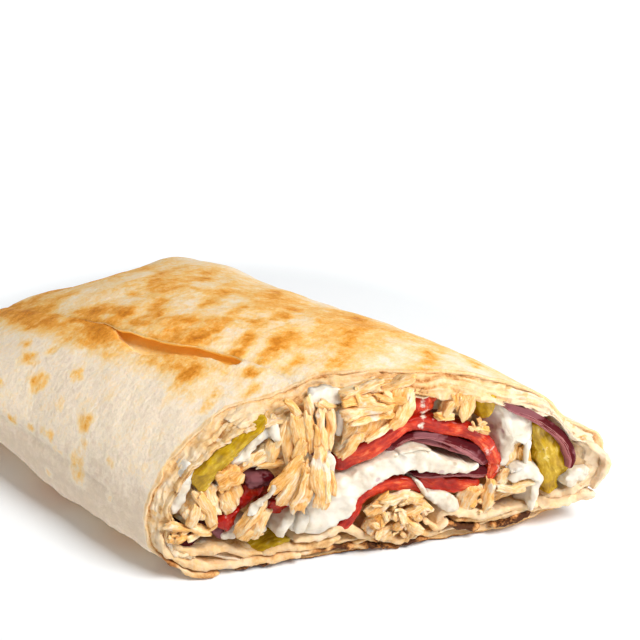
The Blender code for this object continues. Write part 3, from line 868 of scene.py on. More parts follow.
def roll_grid():
    """Grid of the outer turn, with its angles, the shift of its edge, its runs and its fullness.

    Rows from the ragged cut along the roll are followed by rows that draw in like a quarter of a
    circle. Fullness is 1 along the roll and falls to 0 where the end shuts.
    """
    share = crowded(TUBE_ROWS, 2.0)[:, None]
    even = np.linspace(0.0, 1.0, OUTER_COLUMNS)[None, :]
    base = even_angles(FLAP_ANGLE, TUCK_ANGLE, OUTER_COLUMNS)[None, :]
    run = way_round(FLAP_ANGLE, TUCK_ANGLE)[1][-1] * even
    straight = lay(base, share, turn_depth(base), 0.0)
    turn = np.pi / 2 * np.linspace(0.0, NEARLY_SHUT, END_ROWS)[1:, None]
    end_y = FULL_UNTIL + END_ROUNDING * np.sin(turn) + 0.0 * base
    ys = np.vstack([straight[..., 1], end_y])
    shift = np.interp(ys, EDGE_Y, EDGE_SHIFT)
    shift += 0.8 * rough(np.stack([0 * ys, ys, 0 * ys], axis=-1)[:, :1], 6.0, 3, 2)
    angle = base + shift * np.exp(-12.0 * even)
    full = np.vstack([1.0 + 0.0 * share, np.cos(turn) ** 0.6])
    depth = turn_depth(base) * full
    recess = rim_setback(base) + 0.45 * rough(straight[:1], 3.0, 3, 17) - 0.2
    tube_part = lay(angle[:TUBE_ROWS], share, depth[:TUBE_ROWS], recess)
    x, z = inset(angle[TUBE_ROWS:], end_y, depth[TUBE_ROWS:])
    grid = np.vstack([tube_part, np.stack([x, end_y, z], axis=-1)])
    return grid, base, angle, shift, run, full


print("grid of the outer turn:", TUBE_ROWS + END_ROWS - 1, "rows of", OUTER_COLUMNS, "points")

# %% How the outer edge stands open


def along_fold(y):
    """Where along the roll the outer edge may stand open."""
    return np.abs(y - FOLD_MIDDLE) < FOLD_HALF


def open_edge(grid, angle, shift, run):
    """Lift of the sheet around its outer edge, and how strongly the open fold is painted to glow.

    Left of the edge the sheet lies level with it, then drops into the fold and under the edge.
    """
    y = grid[..., 1]
    free = smooth_step(angle, 84.0, 109.0) ** 1.4
    lift = np.interp(y, EDGE_Y, EDGE_LIFT) * free * (1 + 0.4 * rough(grid, 6.0, 2, 5))
    reach = np.interp(y, EDGE_Y, FOLD_REACH) + 0.25 * rough(grid, 2.6, 2, 33)
    fold = smooth_step(run - RUN_UNDER_EDGE, -reach - 0.5, 0.5 - reach)
    fold = fold * smooth_step(reach, 0.2, 0.8) * along_fold(y)
    closed = np.maximum(1 - smooth_step(y, -24.0, -19.0), smooth_step(y, 27.0, 32.0))
    lift -= 0.3 * closed * smooth_step(angle, 99.0, 108.5)
    seam = 360.0 - FLAP_ANGLE - shift
    under = smooth_step((-angle - seam - 0.3 + 1.5 * closed) / (2.3 + 6.5 * closed), 0.0, 1.0)
    lift += turn_depth(angle) * (1 - np.maximum(fold, under)) - 0.5 * fold
    inwards = held((run - RUN_UNDER_EDGE + reach) / (reach + 0.5))
    return lift, fold * (0.3 + 0.7 * inwards)

# %% The outer turn
THINNEST, THICKEST_SHARE = 0.02, 0.2


def bread_roll(look):
    """Outer turn of the sheet: its grid pushed out by relief, lift, pleats and crinkles."""
    grid, base, angle, shift, run, full = roll_grid()
    normal = face_normals(grid, off_axis(grid))
    up, y = normal[..., 2], grid[..., 1]
    lift, glow = open_edge(grid, angle, shift, run)
    # pleats that run together where the end is drawn in
    way = np.radians(angle)
    spokes = np.stack([9 * np.cos(way), 9 * np.sin(way), 0.12 * y], axis=-1)
    lift += 0.9 * smooth_step(full, 0.98, 0.5) * rough(spokes, 3.6, 2, 41)
    behind = behind_cut(grid)
    crinkle = 0.5 * near_cut(behind, 3.0) * noise(grid, 4.5, 6)
    scorched = 0.25 * (1 - smooth_step(up, -0.8, -0.4)) * rough(grid, 2.4, 2, 12)
    height = skin_relief(grid) + lift + crinkle + scorched
    outer = grid + normal * (height * full)[..., None]
    outer[..., 2] = np.maximum(outer[..., 2], TABLE_GAP * (1 + noise(grid, 3.0, 1)))
    edge = smooth_step(behind - rim_setback(base), -0.3, 0.7)
    edge = edge * (1 - 0.7 * smooth_step(angle, 103.0, 109.0))
    thick = SHEET * (0.4 + 0.6 * edge) * (1 + 0.18 * noise(grid, 2.5, 19))
    # the sheet grows thinner where its end closes, so that its inner face has room
    ring_size = np.linalg.norm(grid - grid.mean(axis=1, keepdims=True), axis=-1)
    thick = np.minimum(thick, THINNEST + THICKEST_SHARE * ring_size)
    inner = outer - normal * thick[..., None]
    crumb = 1 - smooth_step(behind - rim_setback(base), -0.2, 0.6)
    toast = toasting(run, outer, up) + 0.22 * crumb
    # painted glow: the open fold shines, and the underside of the outer edge with it
    skin = sheet(outer, inner, toast=(toast, 0.3), crumb=(crumb, 1.0),
                 glow=(glow, smooth_step(angle, 90.0, 102.0) * along_fold(y)))
    make_piece("bread_roll", [skin], look, ["flatbread"])


bread_roll(bread)

# %% [markdown]
# ## The inner turn and the crinkled layers at the rim
#
# Inside, the sheet goes on over the top, down the right side, where it bunches up into a lip,
# and along the bottom. At the cut its layers part and buckle, and the crumb between them tears.
# Such a rim could be sculpted by hand. Here the *inner turn* is laid like the outer one, the
# *torn rim* is a slope from the skin to the filling with relief drawn out along it, and each
# *ply* is a short thin sheet that buckles most at its front edge.

# %% Places in the plane of the cut
ACROSS = np.array([np.cos(CUT_ANGLE), -np.sin(CUT_ANGLE), 0.0])
OUT = np.array([-np.sin(CUT_ANGLE), -np.cos(CUT_ANGLE), 0.0])
BACK = np.array([0.0, 1.0, 0.0])
UPWARD = np.array([0.0, 0.0, 1.0])
CUT_MIDDLE = np.array([0.0, cut_y(0.0), 0.0])


def in_cut(u, z, ahead):
    """Point at u across and z up in the cut: in front of it straight out, behind it along the roll."""
    u, z, ahead = (np.asarray(v, float)[..., None] for v in (u, z, ahead))
    flat = CUT_MIDDLE + u * ACROSS + z * UPWARD
    return flat + np.maximum(ahead, 0.0) * OUT + np.maximum(-ahead, 0.0) * BACK


def even_line(knots, step):
    """Smooth line through knots, cut into even steps; further columns ride along. Also its run."""
    knots = np.asarray(knots, float)
    ends = np.vstack([2 * knots[0] - knots[1], knots, 2 * knots[-1] - knots[-2]])
    t = np.linspace(0.0, len(knots) - 1.0, 40 * len(knots))
    i = np.minimum(t.astype(int), len(knots) - 2)
    f = (t - i)[:, None]
    a, b, c, d = ends[i], ends[i + 1], ends[i + 2], ends[i + 3]
    line = 0.5 * (2 * b + (c - a) * f + (2 * a - 5 * b + 4 * c - d) * f ** 2
                  + (3 * b - a - 3 * c + d) * f ** 3)
    run = np.concatenate([[0.0], np.cumsum(np.hypot(*np.diff(line[:, :2], axis=0).T))])
    even = np.linspace(0.0, run[-1], max(7, int(run[-1] / step) + 1))
    return np.stack([np.interp(even, run, column) for column in line.T], axis=-1), even


def sideways_of(line):
    """Unit directions square to a flat line, in its plane."""
    step = unit(np.gradient(line[:, :2], axis=0))
    return np.stack([-step[:, 1], step[:, 0]], axis=-1)


print("width of the cut:", (WIDTH / np.cos(CUT_ANGLE)).round(1), "mm")

# %% The inner turn
INNER_COLUMNS, INNER_ROWS = 190, 60
LIP_THICKNESS, LIP_ANGLE, LIP_SPREAD = 2.4, -360.0, 26.0


def inner_turn(look):
    """Second turn of the sheet, buckled at the cut and bunched into a lip on the right."""
    angle = even_angles(INNER_START_ANGLE, INNER_END_ANGLE, INNER_COLUMNS)[None, :]
    share = crowded(INNER_ROWS, 3.0)[:, None]
    bunch = LIP_THICKNESS * ridge(angle, LIP_ANGLE, LIP_SPREAD)
    rim = lay(angle, 0.0, TURN_GAP, 0.0)
    bottom = smooth_step(-np.sin(np.radians(angle)), 0.2, 0.8)
    setback = rim_setback(angle)
    recess = 0.6 * rough(rim, 3.4, 3, 41) + 0.5 * setback - 0.2 - 0.5 * bottom
    grid = lay(angle, share, TURN_GAP, recess)
    inner_grid = lay(angle, share, TURN_GAP + SHEET, recess, sideways=bunch)
    behind = behind_cut(grid)
    normal = face_normals(grid, off_axis(grid))
    buckle = (0.35 + 0.55 * bottom) * near_cut(behind, 5.0) * (rough(grid, 5.5, 3, 47) - 0.4)
    swell = skin_relief(grid) - 0.3 + buckle
    edge = 0.4 + 0.6 * smooth_step(behind, 0.0, 0.8)
    middle, half = (grid + inner_grid) / 2, (grid - inner_grid) / 2
    outer = middle + half * edge[..., None] + normal * swell[..., None]
    inner = middle - half * edge[..., None] + normal * swell[..., None]
    outer[..., 2] = np.maximum(outer[..., 2], 0.4)
    # painted shade: the sheet is browner the further it lies behind the cut
    brown = 0.18 + 0.2 * rough(grid, 6.0, 3, 51) + 0.35 * smooth_step(behind, 1.5, 5.0)
    skin = sheet(outer, inner, toast=brown, crumb=0.9, glow=0.0)
    make_piece("bread_inner_turn", [skin], look)


inner_turn(bread)

# %% Toast and painted shade of the torn crumb


def rim_brown(grid, way, steps, fine, on_slope, seed):
    """Toast of the torn crumb on top and in loose flecks; painted shade between its layers and where it
    runs back; both along the skin.
    """
    x, z = grid[..., 0], grid[..., 2]
    right_side = smooth_step(x, 12.0, 22.0)
    paler = 1 - 0.75 * right_side * smooth_step(z, 5.0, 10.0)
    # painted shade: browner in the sunken steps between layers and, on the next line, in the low spots
    # of the fine relief
    brown = 0.18 + 0.32 * held(-steps - 0.05) + 0.16 * rough(grid, 4.0, 3, seed + 5)
    brown = (brown - 0.1 * fine) * paler + 0.14 * (1 - smooth_step(z, 2.0, 8.0))
    # the skin's edge: a line of toast with painted shadow under the skin
    brown += 0.2 * ridge(way, 0.02, 0.05) * (1 + noise(grid, 2.0, seed + 6))
    brown += 0.12 * (smooth_step(z, 22.0, 30.0) * (1 - right_side))
    # painted shade where the crumb runs back behind the filling
    brown += 0.5 * smooth_step(way, 1.0, 1.5)
    where = smooth_step(noise(grid, 6.0, seed), 0.0, 0.4)
    flecks = smooth_step(noise(grid, 1.2, seed + 7), 0.45, 0.6) * where
    return held(brown + 0.35 * flecks * on_slope)

# %% The torn rim
# Ways across the rim: under the skin, over the slope from 0 to 1, and back along the filling
RIM_WAYS = np.concatenate([[-0.9, -0.45, -0.15], np.linspace(0.0, 1.0, 46), [1.06, 1.2, 1.5, 2.0]])
RIM_STEP, RIM_AHEAD, RIM_THICKNESS = 0.24, 0.9, 0.7


def torn_rim(start, stop, seed):
    """Slope of torn crumb between the toasted skin and the filling, flaking in thin layers.

    Each point lies at a depth under the outline and a recess behind the cut, both of which change
    from the skin's edge to the filling. Relief drawn out along the rim makes the layers.
    """
    columns = int(way_round(start, stop)[1][-1] / RIM_STEP)
    angle = even_angles(start, stop, columns)[None, :]
    run = RIM_STEP * np.arange(columns)[None, :]
    way = RIM_WAYS[:, None]
    track = np.stack([run, 0 * run, 0 * run + 3.1 * seed], axis=-1)
    width = np.interp(np.mod(-angle, 360.0), RIM_DEGREES, RIM_WIDTHS)
    width = width * (1 + 0.3 * rough(track, 4.0, 4, seed))
    setback = rim_setback(angle) + 0.4 * rough(track, 3.0, 3, seed + 1)
    slope = held(way)
    depth = 0.55 + width * slope + 0.5 * held(-way) + 0.3 * held(way - 1)
    recess = setback * (1 - slope) ** 1.4 - RIM_AHEAD * slope
    recess = recess + 5.0 * held(-way) + 6.0 * held(way - 1.0)
    grid = lay(angle, 0.0, depth, recess)
    normal = face_normals(grid, OUT)
    on_slope = window(way, -0.1, 0.1, 1.0, 1.2)
    across = np.hypot(setback, width) * slope + 0.7 * noise(grid, 4.0, seed)
    layers = np.stack([run / 6.5 + 0 * way, across / 0.62, seed + 0 * depth], axis=-1)
    steps = signed_power(rough(layers, 1.0, 3, seed + 2), 0.7)
    fine = rough(grid, 0.9, 3, seed + 3)
    height = on_slope * (0.36 * steps + 0.34 * rough(grid, 3.6, 3, seed + 4) + 0.13 * fine)
    outwards_in_roll = off_axis(grid)
    outwards_in_roll /= np.linalg.norm(outwards_in_roll, axis=-1, keepdims=True)
    outer = grid + normal * height[..., None] + outwards_in_roll * skin_relief(grid)[..., None]
    inner = outer - normal * RIM_THICKNESS
    brown = rim_brown(grid, way, steps, fine, on_slope, seed)
    return sheet(outer, inner, toast=brown, crumb=1.0, glow=0.0)


make_pieces({"bread_rim_left": [torn_rim(-140.0, -236.0, 301)],
             "bread_rim_top": [torn_rim(-232.0, -352.0, 302)]}, bread)

# %% Flaky layers that follow the rim
PLY_ROWS, PLY_COLUMNS_PER_DEGREE, PLY_REACH = 20, 1.35, 8.0


def rim_ply(start, stop, depth, recess, thick, buckle, ragged, toast, seed):
    """Thin layer between two angles at a depth under the outline, with a torn, wavy front edge."""
    columns = int(abs(stop - start) * PLY_COLUMNS_PER_DEGREE) + 8
    angle = even_angles(start, stop, columns)[None, :]
    share = PLY_REACH / (FULL_UNTIL - cut_y(0.0)) * crowded(PLY_ROWS, 2.0)[:, None]
    depth = turn_depth(angle) * (angle < -180.0) + depth
    rim = lay(angle, 0.0, depth, 0.0)
    grid = lay(angle, share, depth, recess + ragged * rough(rim, 2.8, 3, seed))
    behind = behind_cut(grid) - recess
    normal = face_normals(grid, off_axis(grid))
    height = buckle * (0.2 + near_cut(behind, 3.0)) * rough(grid, 4.2, 3, seed + 1)
    tip = np.minimum(np.arange(columns), np.arange(columns)[::-1]) / 6.0
    half = thick / 2 * (0.35 + 0.65 * smooth_step(behind, 0.0, 0.8))
    half = half * (0.3 + 0.7 * np.minimum(tip, 1.0))
    half = half * (1 + 0.35 * noise(grid, 1.8, seed + 2))
    outer = grid + normal * (height + half)[..., None]
    inner = grid + normal * (height - half)[..., None]
    outer[..., 2] = np.maximum(outer[..., 2], 0.25)
    brown = toast * (0.8 + 0.9 * rough(grid, 3.4, 3, seed + 3))
    # painted shade: browner further behind the cut
    brown += 0.22 * smooth_step(behind, 0.6, 3.0)
    brown += 0.16 * (1 - smooth_step(grid[..., 2], 1.5, 5.0))
    return sheet(outer, inner, toast=np.clip(brown, 0.0, 1.2), crumb=1.0, glow=0.0)


# Start, stop, depth, recess, thickness, buckling, raggedness, toast and seed of each layer
RIM_PLIES = {
    "bread_ply_bottom_left": [
        (-100, -176, 1.2, 0.3, 1.1, 0.2, 0.35, 0.34, 65),
        (-104, -178, 2.6, 0.6, 1.2, 0.4, 0.35, 0.26, 66),
        (-112, -176, 4.3, 0.9, 1.2, 0.6, 0.4, 0.26, 68)],
    "bread_ply_top": [
        (-220, -246, 1.5, -0.4, 0.8, 0.7, 0.9, 0.1, 73),
        (-254, -302, 1.5, 1, 0.7, 0.6, 0.9, 0.16, 74),
        (-262, -318, 2.7, -0.5, 0.8, 0.7, 0.9, 0.1, 75)],
    "bread_ply_bottom": [
        (-24, -108, 1, 0.8, 0.9, 0.2, 0.35, 0.6, 70),
        (-28, -104, 2.4, 1.4, 1.1, 0.5, 0.4, 0.45, 71)],
}
make_pieces({name: [rim_ply(*row) for row in rows] for name, rows in RIM_PLIES.items()}, bread)

# %% [markdown]
# ## Filling: three ways to make a piece
#
# Tomato, onion, pickle and sauce meet the cut as bent *strips* or as flat *patches*. Chicken tears
# into splinters with flat sides and ragged ends, made by the third maker, *torn*. Sixty pieces
# could be sculpted one by one, but with a line and a thickness for each one they stay easy to
# move. All are tubes of rings, placed in the plane of the cut, and each skin carries the same
# marks: where a point lies along and across the piece, how hollow and how deep it sits, which
# both paint shade, and the piece's tone.

# %% Lumps, grooves and marks
# Splinters of meat are pushed out by their full, shallow grooves, whose painted shade is drawn stronger
GROOVED, GROOVE_DARKNESS = 1.0, 5.0


def finish_rings(grid, forward, lump, bend, seed, fibre=None, jag=0.0, **marks):
    """Rings pushed about and made lumpy, with their marks; fibre swaps the lumps for grooves."""
    grid = wander(wander(grid, bend, 5.0, seed), jag, 1.5, seed + 71)
    bumps = rough(grid, 1.9, 3, seed + 3) if fibre is None else fibre
    grid = grid + ring_normals(grid) * (lump * bumps)[..., None]
    # painted shade: grooves are darkened more strongly than lumps
    bumps = bumps * GROOVE_DARKNESS if lump == GROOVED else bumps
    tone = np.random.default_rng(50 + seed).uniform(0.0, 1.0)
    # painted shade marks: one darkens the hollows between lumps and grooves, one whatever lies behind
    # the cut
    return tube(grid, hollow=held(0.5 - 0.6 * bumps), front=forward,
                deep=held(-forward / 6.0), tone=np.full(bumps.shape, tone), **marks)

# %% Strips
RING_FRONT, RING_BACK, STRIP_STEP = 20, 8, 0.3


def strip(knots, ahead=0.0, depth=9.0, bulge=0.6, square=3.0, lump=0.14, bend=0.25, ragged=0.0,
          jag=0.16, seed=0):
    """Bent piece along knots (u, z, thickness): its section is a rounded box, deep and thin."""
    line, run = even_line(knots, STRIP_STEP)
    if line.shape[1] == 3:
        line = np.column_stack([line, np.zeros(len(line))])
    side = sideways_of(line)
    half = line[:, 2] / 2
    ends = held(np.minimum(run, run[-1] - run) / (1.1 * half + 0.05))
    closing = np.maximum(np.sqrt(1 - (1 - ends) ** 2), 0.06)[:, None]
    turn = np.concatenate([np.linspace(0, np.pi, RING_FRONT, endpoint=False),
                           np.linspace(np.pi, 2 * np.pi, RING_BACK, endpoint=False)])[None, :]
    across = signed_power(np.cos(turn), 2 / square)
    out = signed_power(np.sin(turn), 2 / square)
    edges = np.stack([run[:, None] + 0 * turn, 2.0 * np.sign(across) + 0 * run[:, None],
                      0 * across + 3.7 * seed + 0 * run[:, None]], axis=-1)
    uneven = 1 + ragged * rough(edges, 2.6, 3, seed + 9)
    reach = half[:, None] * closing * across * uneven
    u = line[:, :1] + side[:, :1] * reach
    z = line[:, 1:2] + side[:, 1:2] * reach
    forward = ahead + line[:, 3:4] + np.where(out > 0, bulge * closing, depth) * out
    return finish_rings(in_cut(u, z, forward), forward, lump, bend, seed, jag=jag,
                        along=run[:, None] + 13.0 * seed, across=across)


print("points round a strip:", RING_FRONT + RING_BACK)

# %% Patches
PATCH_STEP = 0.36
# Rings of a patch: shares of the way out to its outline, and how far they lie behind its face
PATCH_SHARES = np.array([0.04, 0.14, 0.26, 0.38, 0.5, 0.61, 0.71, 0.8, 0.88, 0.94, 0.98, 1.0,
                         1.01, 1.0, 0.98, 0.92])
PATCH_BACKS = np.array([0, 0, 0, 0, 0, 0, 0, 0, 0, 0.02, 0.1, 0.28, 0.7, 1.6, 4.0, 8.0])


def even_loop(corners, step):
    """Smooth closed line through corners, cut into even steps."""
    corners = np.asarray(corners, float)
    wrapped = np.vstack([corners, corners[:3]])
    line, run = even_line(wrapped, step / 6)
    start = np.argmin(np.hypot(*(line - corners[1])[: len(line) // 2].T))
    stop = len(line) // 2 + np.argmin(np.hypot(*(line - corners[1])[len(line) // 2:].T))
    line, run = line[start:stop], run[start:stop] - run[start]
    even = np.linspace(0.0, run[-1], max(16, int(run[-1] / step)), endpoint=False)
    return np.stack([np.interp(even, run, column) for column in line.T], axis=-1)


def patch(corners, ahead=0.0, dome=0.6, lean=(0.0, 0.0), lump=0.16, bend=0.25, depth=1.0,
          grain=90.0, creased=0.0, ragged=0.0, jag=0.25, seed=0):
    """Piece seen broadside: rings from its middle out to its outline, then back into the roll.

    It is domed, and leans by so much per millimetre across and up. Grain is the way of its
    fibres, creased the depth of the sharp folds that run along them.
    """
    rim = even_loop(corners, PATCH_STEP)[None]
    middle = rim.mean(axis=1, keepdims=True)
    spread = 1 + ragged * rough(np.pad(rim, ((0, 0), (0, 0), (0, 1))) + seed, 1.8, 3, seed)
    rim = middle + (rim - middle) * spread[..., None]
    share = PATCH_SHARES[:, None]
    flat = middle + (rim - middle) * share[..., None]
    u, z = flat[..., 0], flat[..., 1]
    c, s = np.cos(np.radians(grain)), np.sin(np.radians(grain))
    along, across = u * c + z * s, z * c - u * s
    fold = np.stack([0.22 * along, across, 0 * along + 2.3 * seed], axis=-1)
    fold = np.abs(noise(fold, 1.7, seed)) + 0.5 * np.abs(noise(fold, 0.8, seed + 1))
    forward = ahead + dome * (1 - np.minimum(share, 1.0) ** 2.4) - PATCH_BACKS[:, None] * depth
    forward = forward + lean[0] * (u - middle[..., 0]) + lean[1] * (z - middle[..., 1])
    forward = forward + creased * (fold - 0.35) * (share < 1.0)
    fibre = None
    if creased:
        fibre = rough(np.stack([0.14 * along, across, 0 * along + seed], axis=-1), 0.8, 3, seed)
    return finish_rings(in_cut(u, z, forward), forward, lump, bend, seed, fibre, jag,
                        along=along + 13.0 * seed, across=across)


print("rings of a patch:", len(PATCH_SHARES))

# %% Splinters of torn meat
SPLINTER_POINTS, SPLINTER_STEP = 34, 0.34
END_SCALES = np.array([0.25, 0.62, 0.88, 0.98])
# Flat sides of a splinter, and how crisp the corners between them are
FLATS, CRISP = 6, 15.0


def flat_sides(run, spin, seed):
    """Distance from a splinter's middle to its skin: flat sides at random turns that wander."""
    chance = np.random.default_rng(400 + seed)
    far = chance.uniform(0.74, 1.04, FLATS)
    faces = (np.arange(FLATS) + chance.uniform(-0.36, 0.36, FLATS)) * 2 * np.pi / FLATS
    lane = 9.7 * np.arange(FLATS)[None, :]
    track = np.stack(np.broadcast_arrays(run[:, None], lane, float(seed)), axis=-1)
    far = far * (1 + 0.34 * noise(track, 2.4, seed))
    facing = np.cos(spin[..., None] - faces) / far[:, None, :]
    return CRISP / np.log(np.sum(np.exp(CRISP * np.clip(facing, -1.0, 3.0)), axis=-1))


def torn(knots, thick=1.6, roll=0.0, rag=0.6, groove=0.075, seed=0):
    """Splinter of meat along knots (u, z, width, ahead): flat sides, grooves, ragged ends."""
    line, run = even_line(knots, SPLINTER_STEP)
    side = sideways_of(line)
    count = len(run)
    ring = np.concatenate([np.zeros(4, int), np.arange(1, count - 1), np.full(4, count - 1)])
    scale = np.concatenate([END_SCALES, np.ones(count - 2), END_SCALES[::-1]])[:, None]
    spin = 2 * np.pi * np.arange(SPLINTER_POINTS)[None, :] / SPLINTER_POINTS
    radius = flat_sides(run[ring], spin, seed)
    across = radius * np.cos(spin) * scale * line[ring, 2][:, None] / 2
    out = radius * np.sin(spin) * scale * thick / 2
    c, s = np.cos(np.radians(roll)), np.sin(np.radians(roll))
    off, lift = across * c - out * s, across * s + out * c
    end = np.where(np.arange(len(ring)) < len(ring) / 2, -1.0, 1.0)[:, None]
    ends = np.minimum(run, run[-1] - run)[ring][:, None]
    lanes = np.stack([across, out, 20.0 * end + 5.0 * seed + 0 * across], axis=-1)
    push = end * rag * 1.6 * rough(lanes, 1.0, 2, seed) * np.exp(-ends / 1.1)
    step = np.gradient(line, axis=0)
    step /= np.linalg.norm(step[:, [0, 1, 3]], axis=1, keepdims=True) + 1e-9
    u = line[ring, :1] + side[ring, :1] * off + step[ring, :1] * push
    z = line[ring, 1:2] + side[ring, 1:2] * off + step[ring, 1:2] * push
    forward = line[ring, 3:4] + lift + step[ring, 3:4] * push
    fibre = np.stack([0.13 * (run[ring][:, None] + push), across, out + 3.3 * seed], axis=-1)
    place = in_cut(u, z, forward)
    uneven = groove * rough(fibre, 0.6, 3, seed) + 0.09 * rough(place, 1.5, 3, seed + 6)
    return finish_rings(wander(place, 0.14, 1.8, seed), forward, GROOVED, 0.25, seed, uneven,
                        along=run[ring][:, None] + 11.0 * seed, across=across)


print("points round a splinter:", SPLINTER_POINTS)

# %% Chunks and crumbs of meat


def chunk(u, z, ahead, size, turn=0.0, dip=0.0, **settings):
    """Straight splinter of size (length, width, thickness), turned in the cut and dipped."""
    length, width, thick = size
    turn, dip = np.radians([turn, dip])
    ways = (np.cos(turn) * np.cos(dip), np.sin(turn) * np.cos(dip), np.sin(dip))
    du, dz, lift = (length / 2 * way for way in ways)
    knots = [(u - du, z - dz, 0.86 * width, ahead - lift), (u, z, width, ahead),
             (u + du, z + dz, 0.84 * width, ahead + lift)]
    return torn(knots, thick=thick, **settings)


def crumbs(u, z, spread, count, size, ahead=(0.0, 1.5), seed=0):
    """Loose small splinters strewn over an oval of the cut, each with its own size and turn."""
    chance = np.random.default_rng(700 + seed)
    skins = []
    for number in range(count):
        way, far = chance.uniform(0, 2 * np.pi), np.sqrt(chance.uniform(0.0, 1.0))
        length = size * chance.uniform(0.7, 1.6)
        wide, thick = length * chance.uniform(0.45, 0.8), length * chance.uniform(0.3, 0.7)
        skins.append(chunk(u + spread[0] * far * np.cos(way), z + spread[1] * far * np.sin(way),
                           chance.uniform(*ahead), (length, wide, thick),
                           turn=chance.uniform(0, 180), dip=chance.uniform(-35, 35),
                           roll=chance.uniform(-50, 50), rag=0.35, groove=0.06,
                           seed=seed * 50 + number))
    return skins


print("points of a small chunk:", len(chunk(0.0, 0.0, 0.0, (2.0, 1.0, 1.0))["points"]))

# %% Crumpled bread


def lumpy_bread(knots, toast, seed, depth=8.0, bulge=0.7, square=2.3, **settings):
    """Thick crumpled bread along knots (u, z, thickness), carrying the bread's own marks."""
    skin = strip(knots, depth=depth, bulge=bulge, square=square, seed=seed, **settings)
    points = skin["points"]
    low = 1 - smooth_step(points[..., 2], 2.5, 6.0)
    brown = 0.06 + 0.14 * low + toast * (0.9 + 0.9 * rough(points, 3.2, 3, seed + 5))
    brown = held(brown)
    skin["marks"] = {"toast": brown, "crumb": np.ones_like(brown), "glow": np.zeros_like(brown)}
    return skin

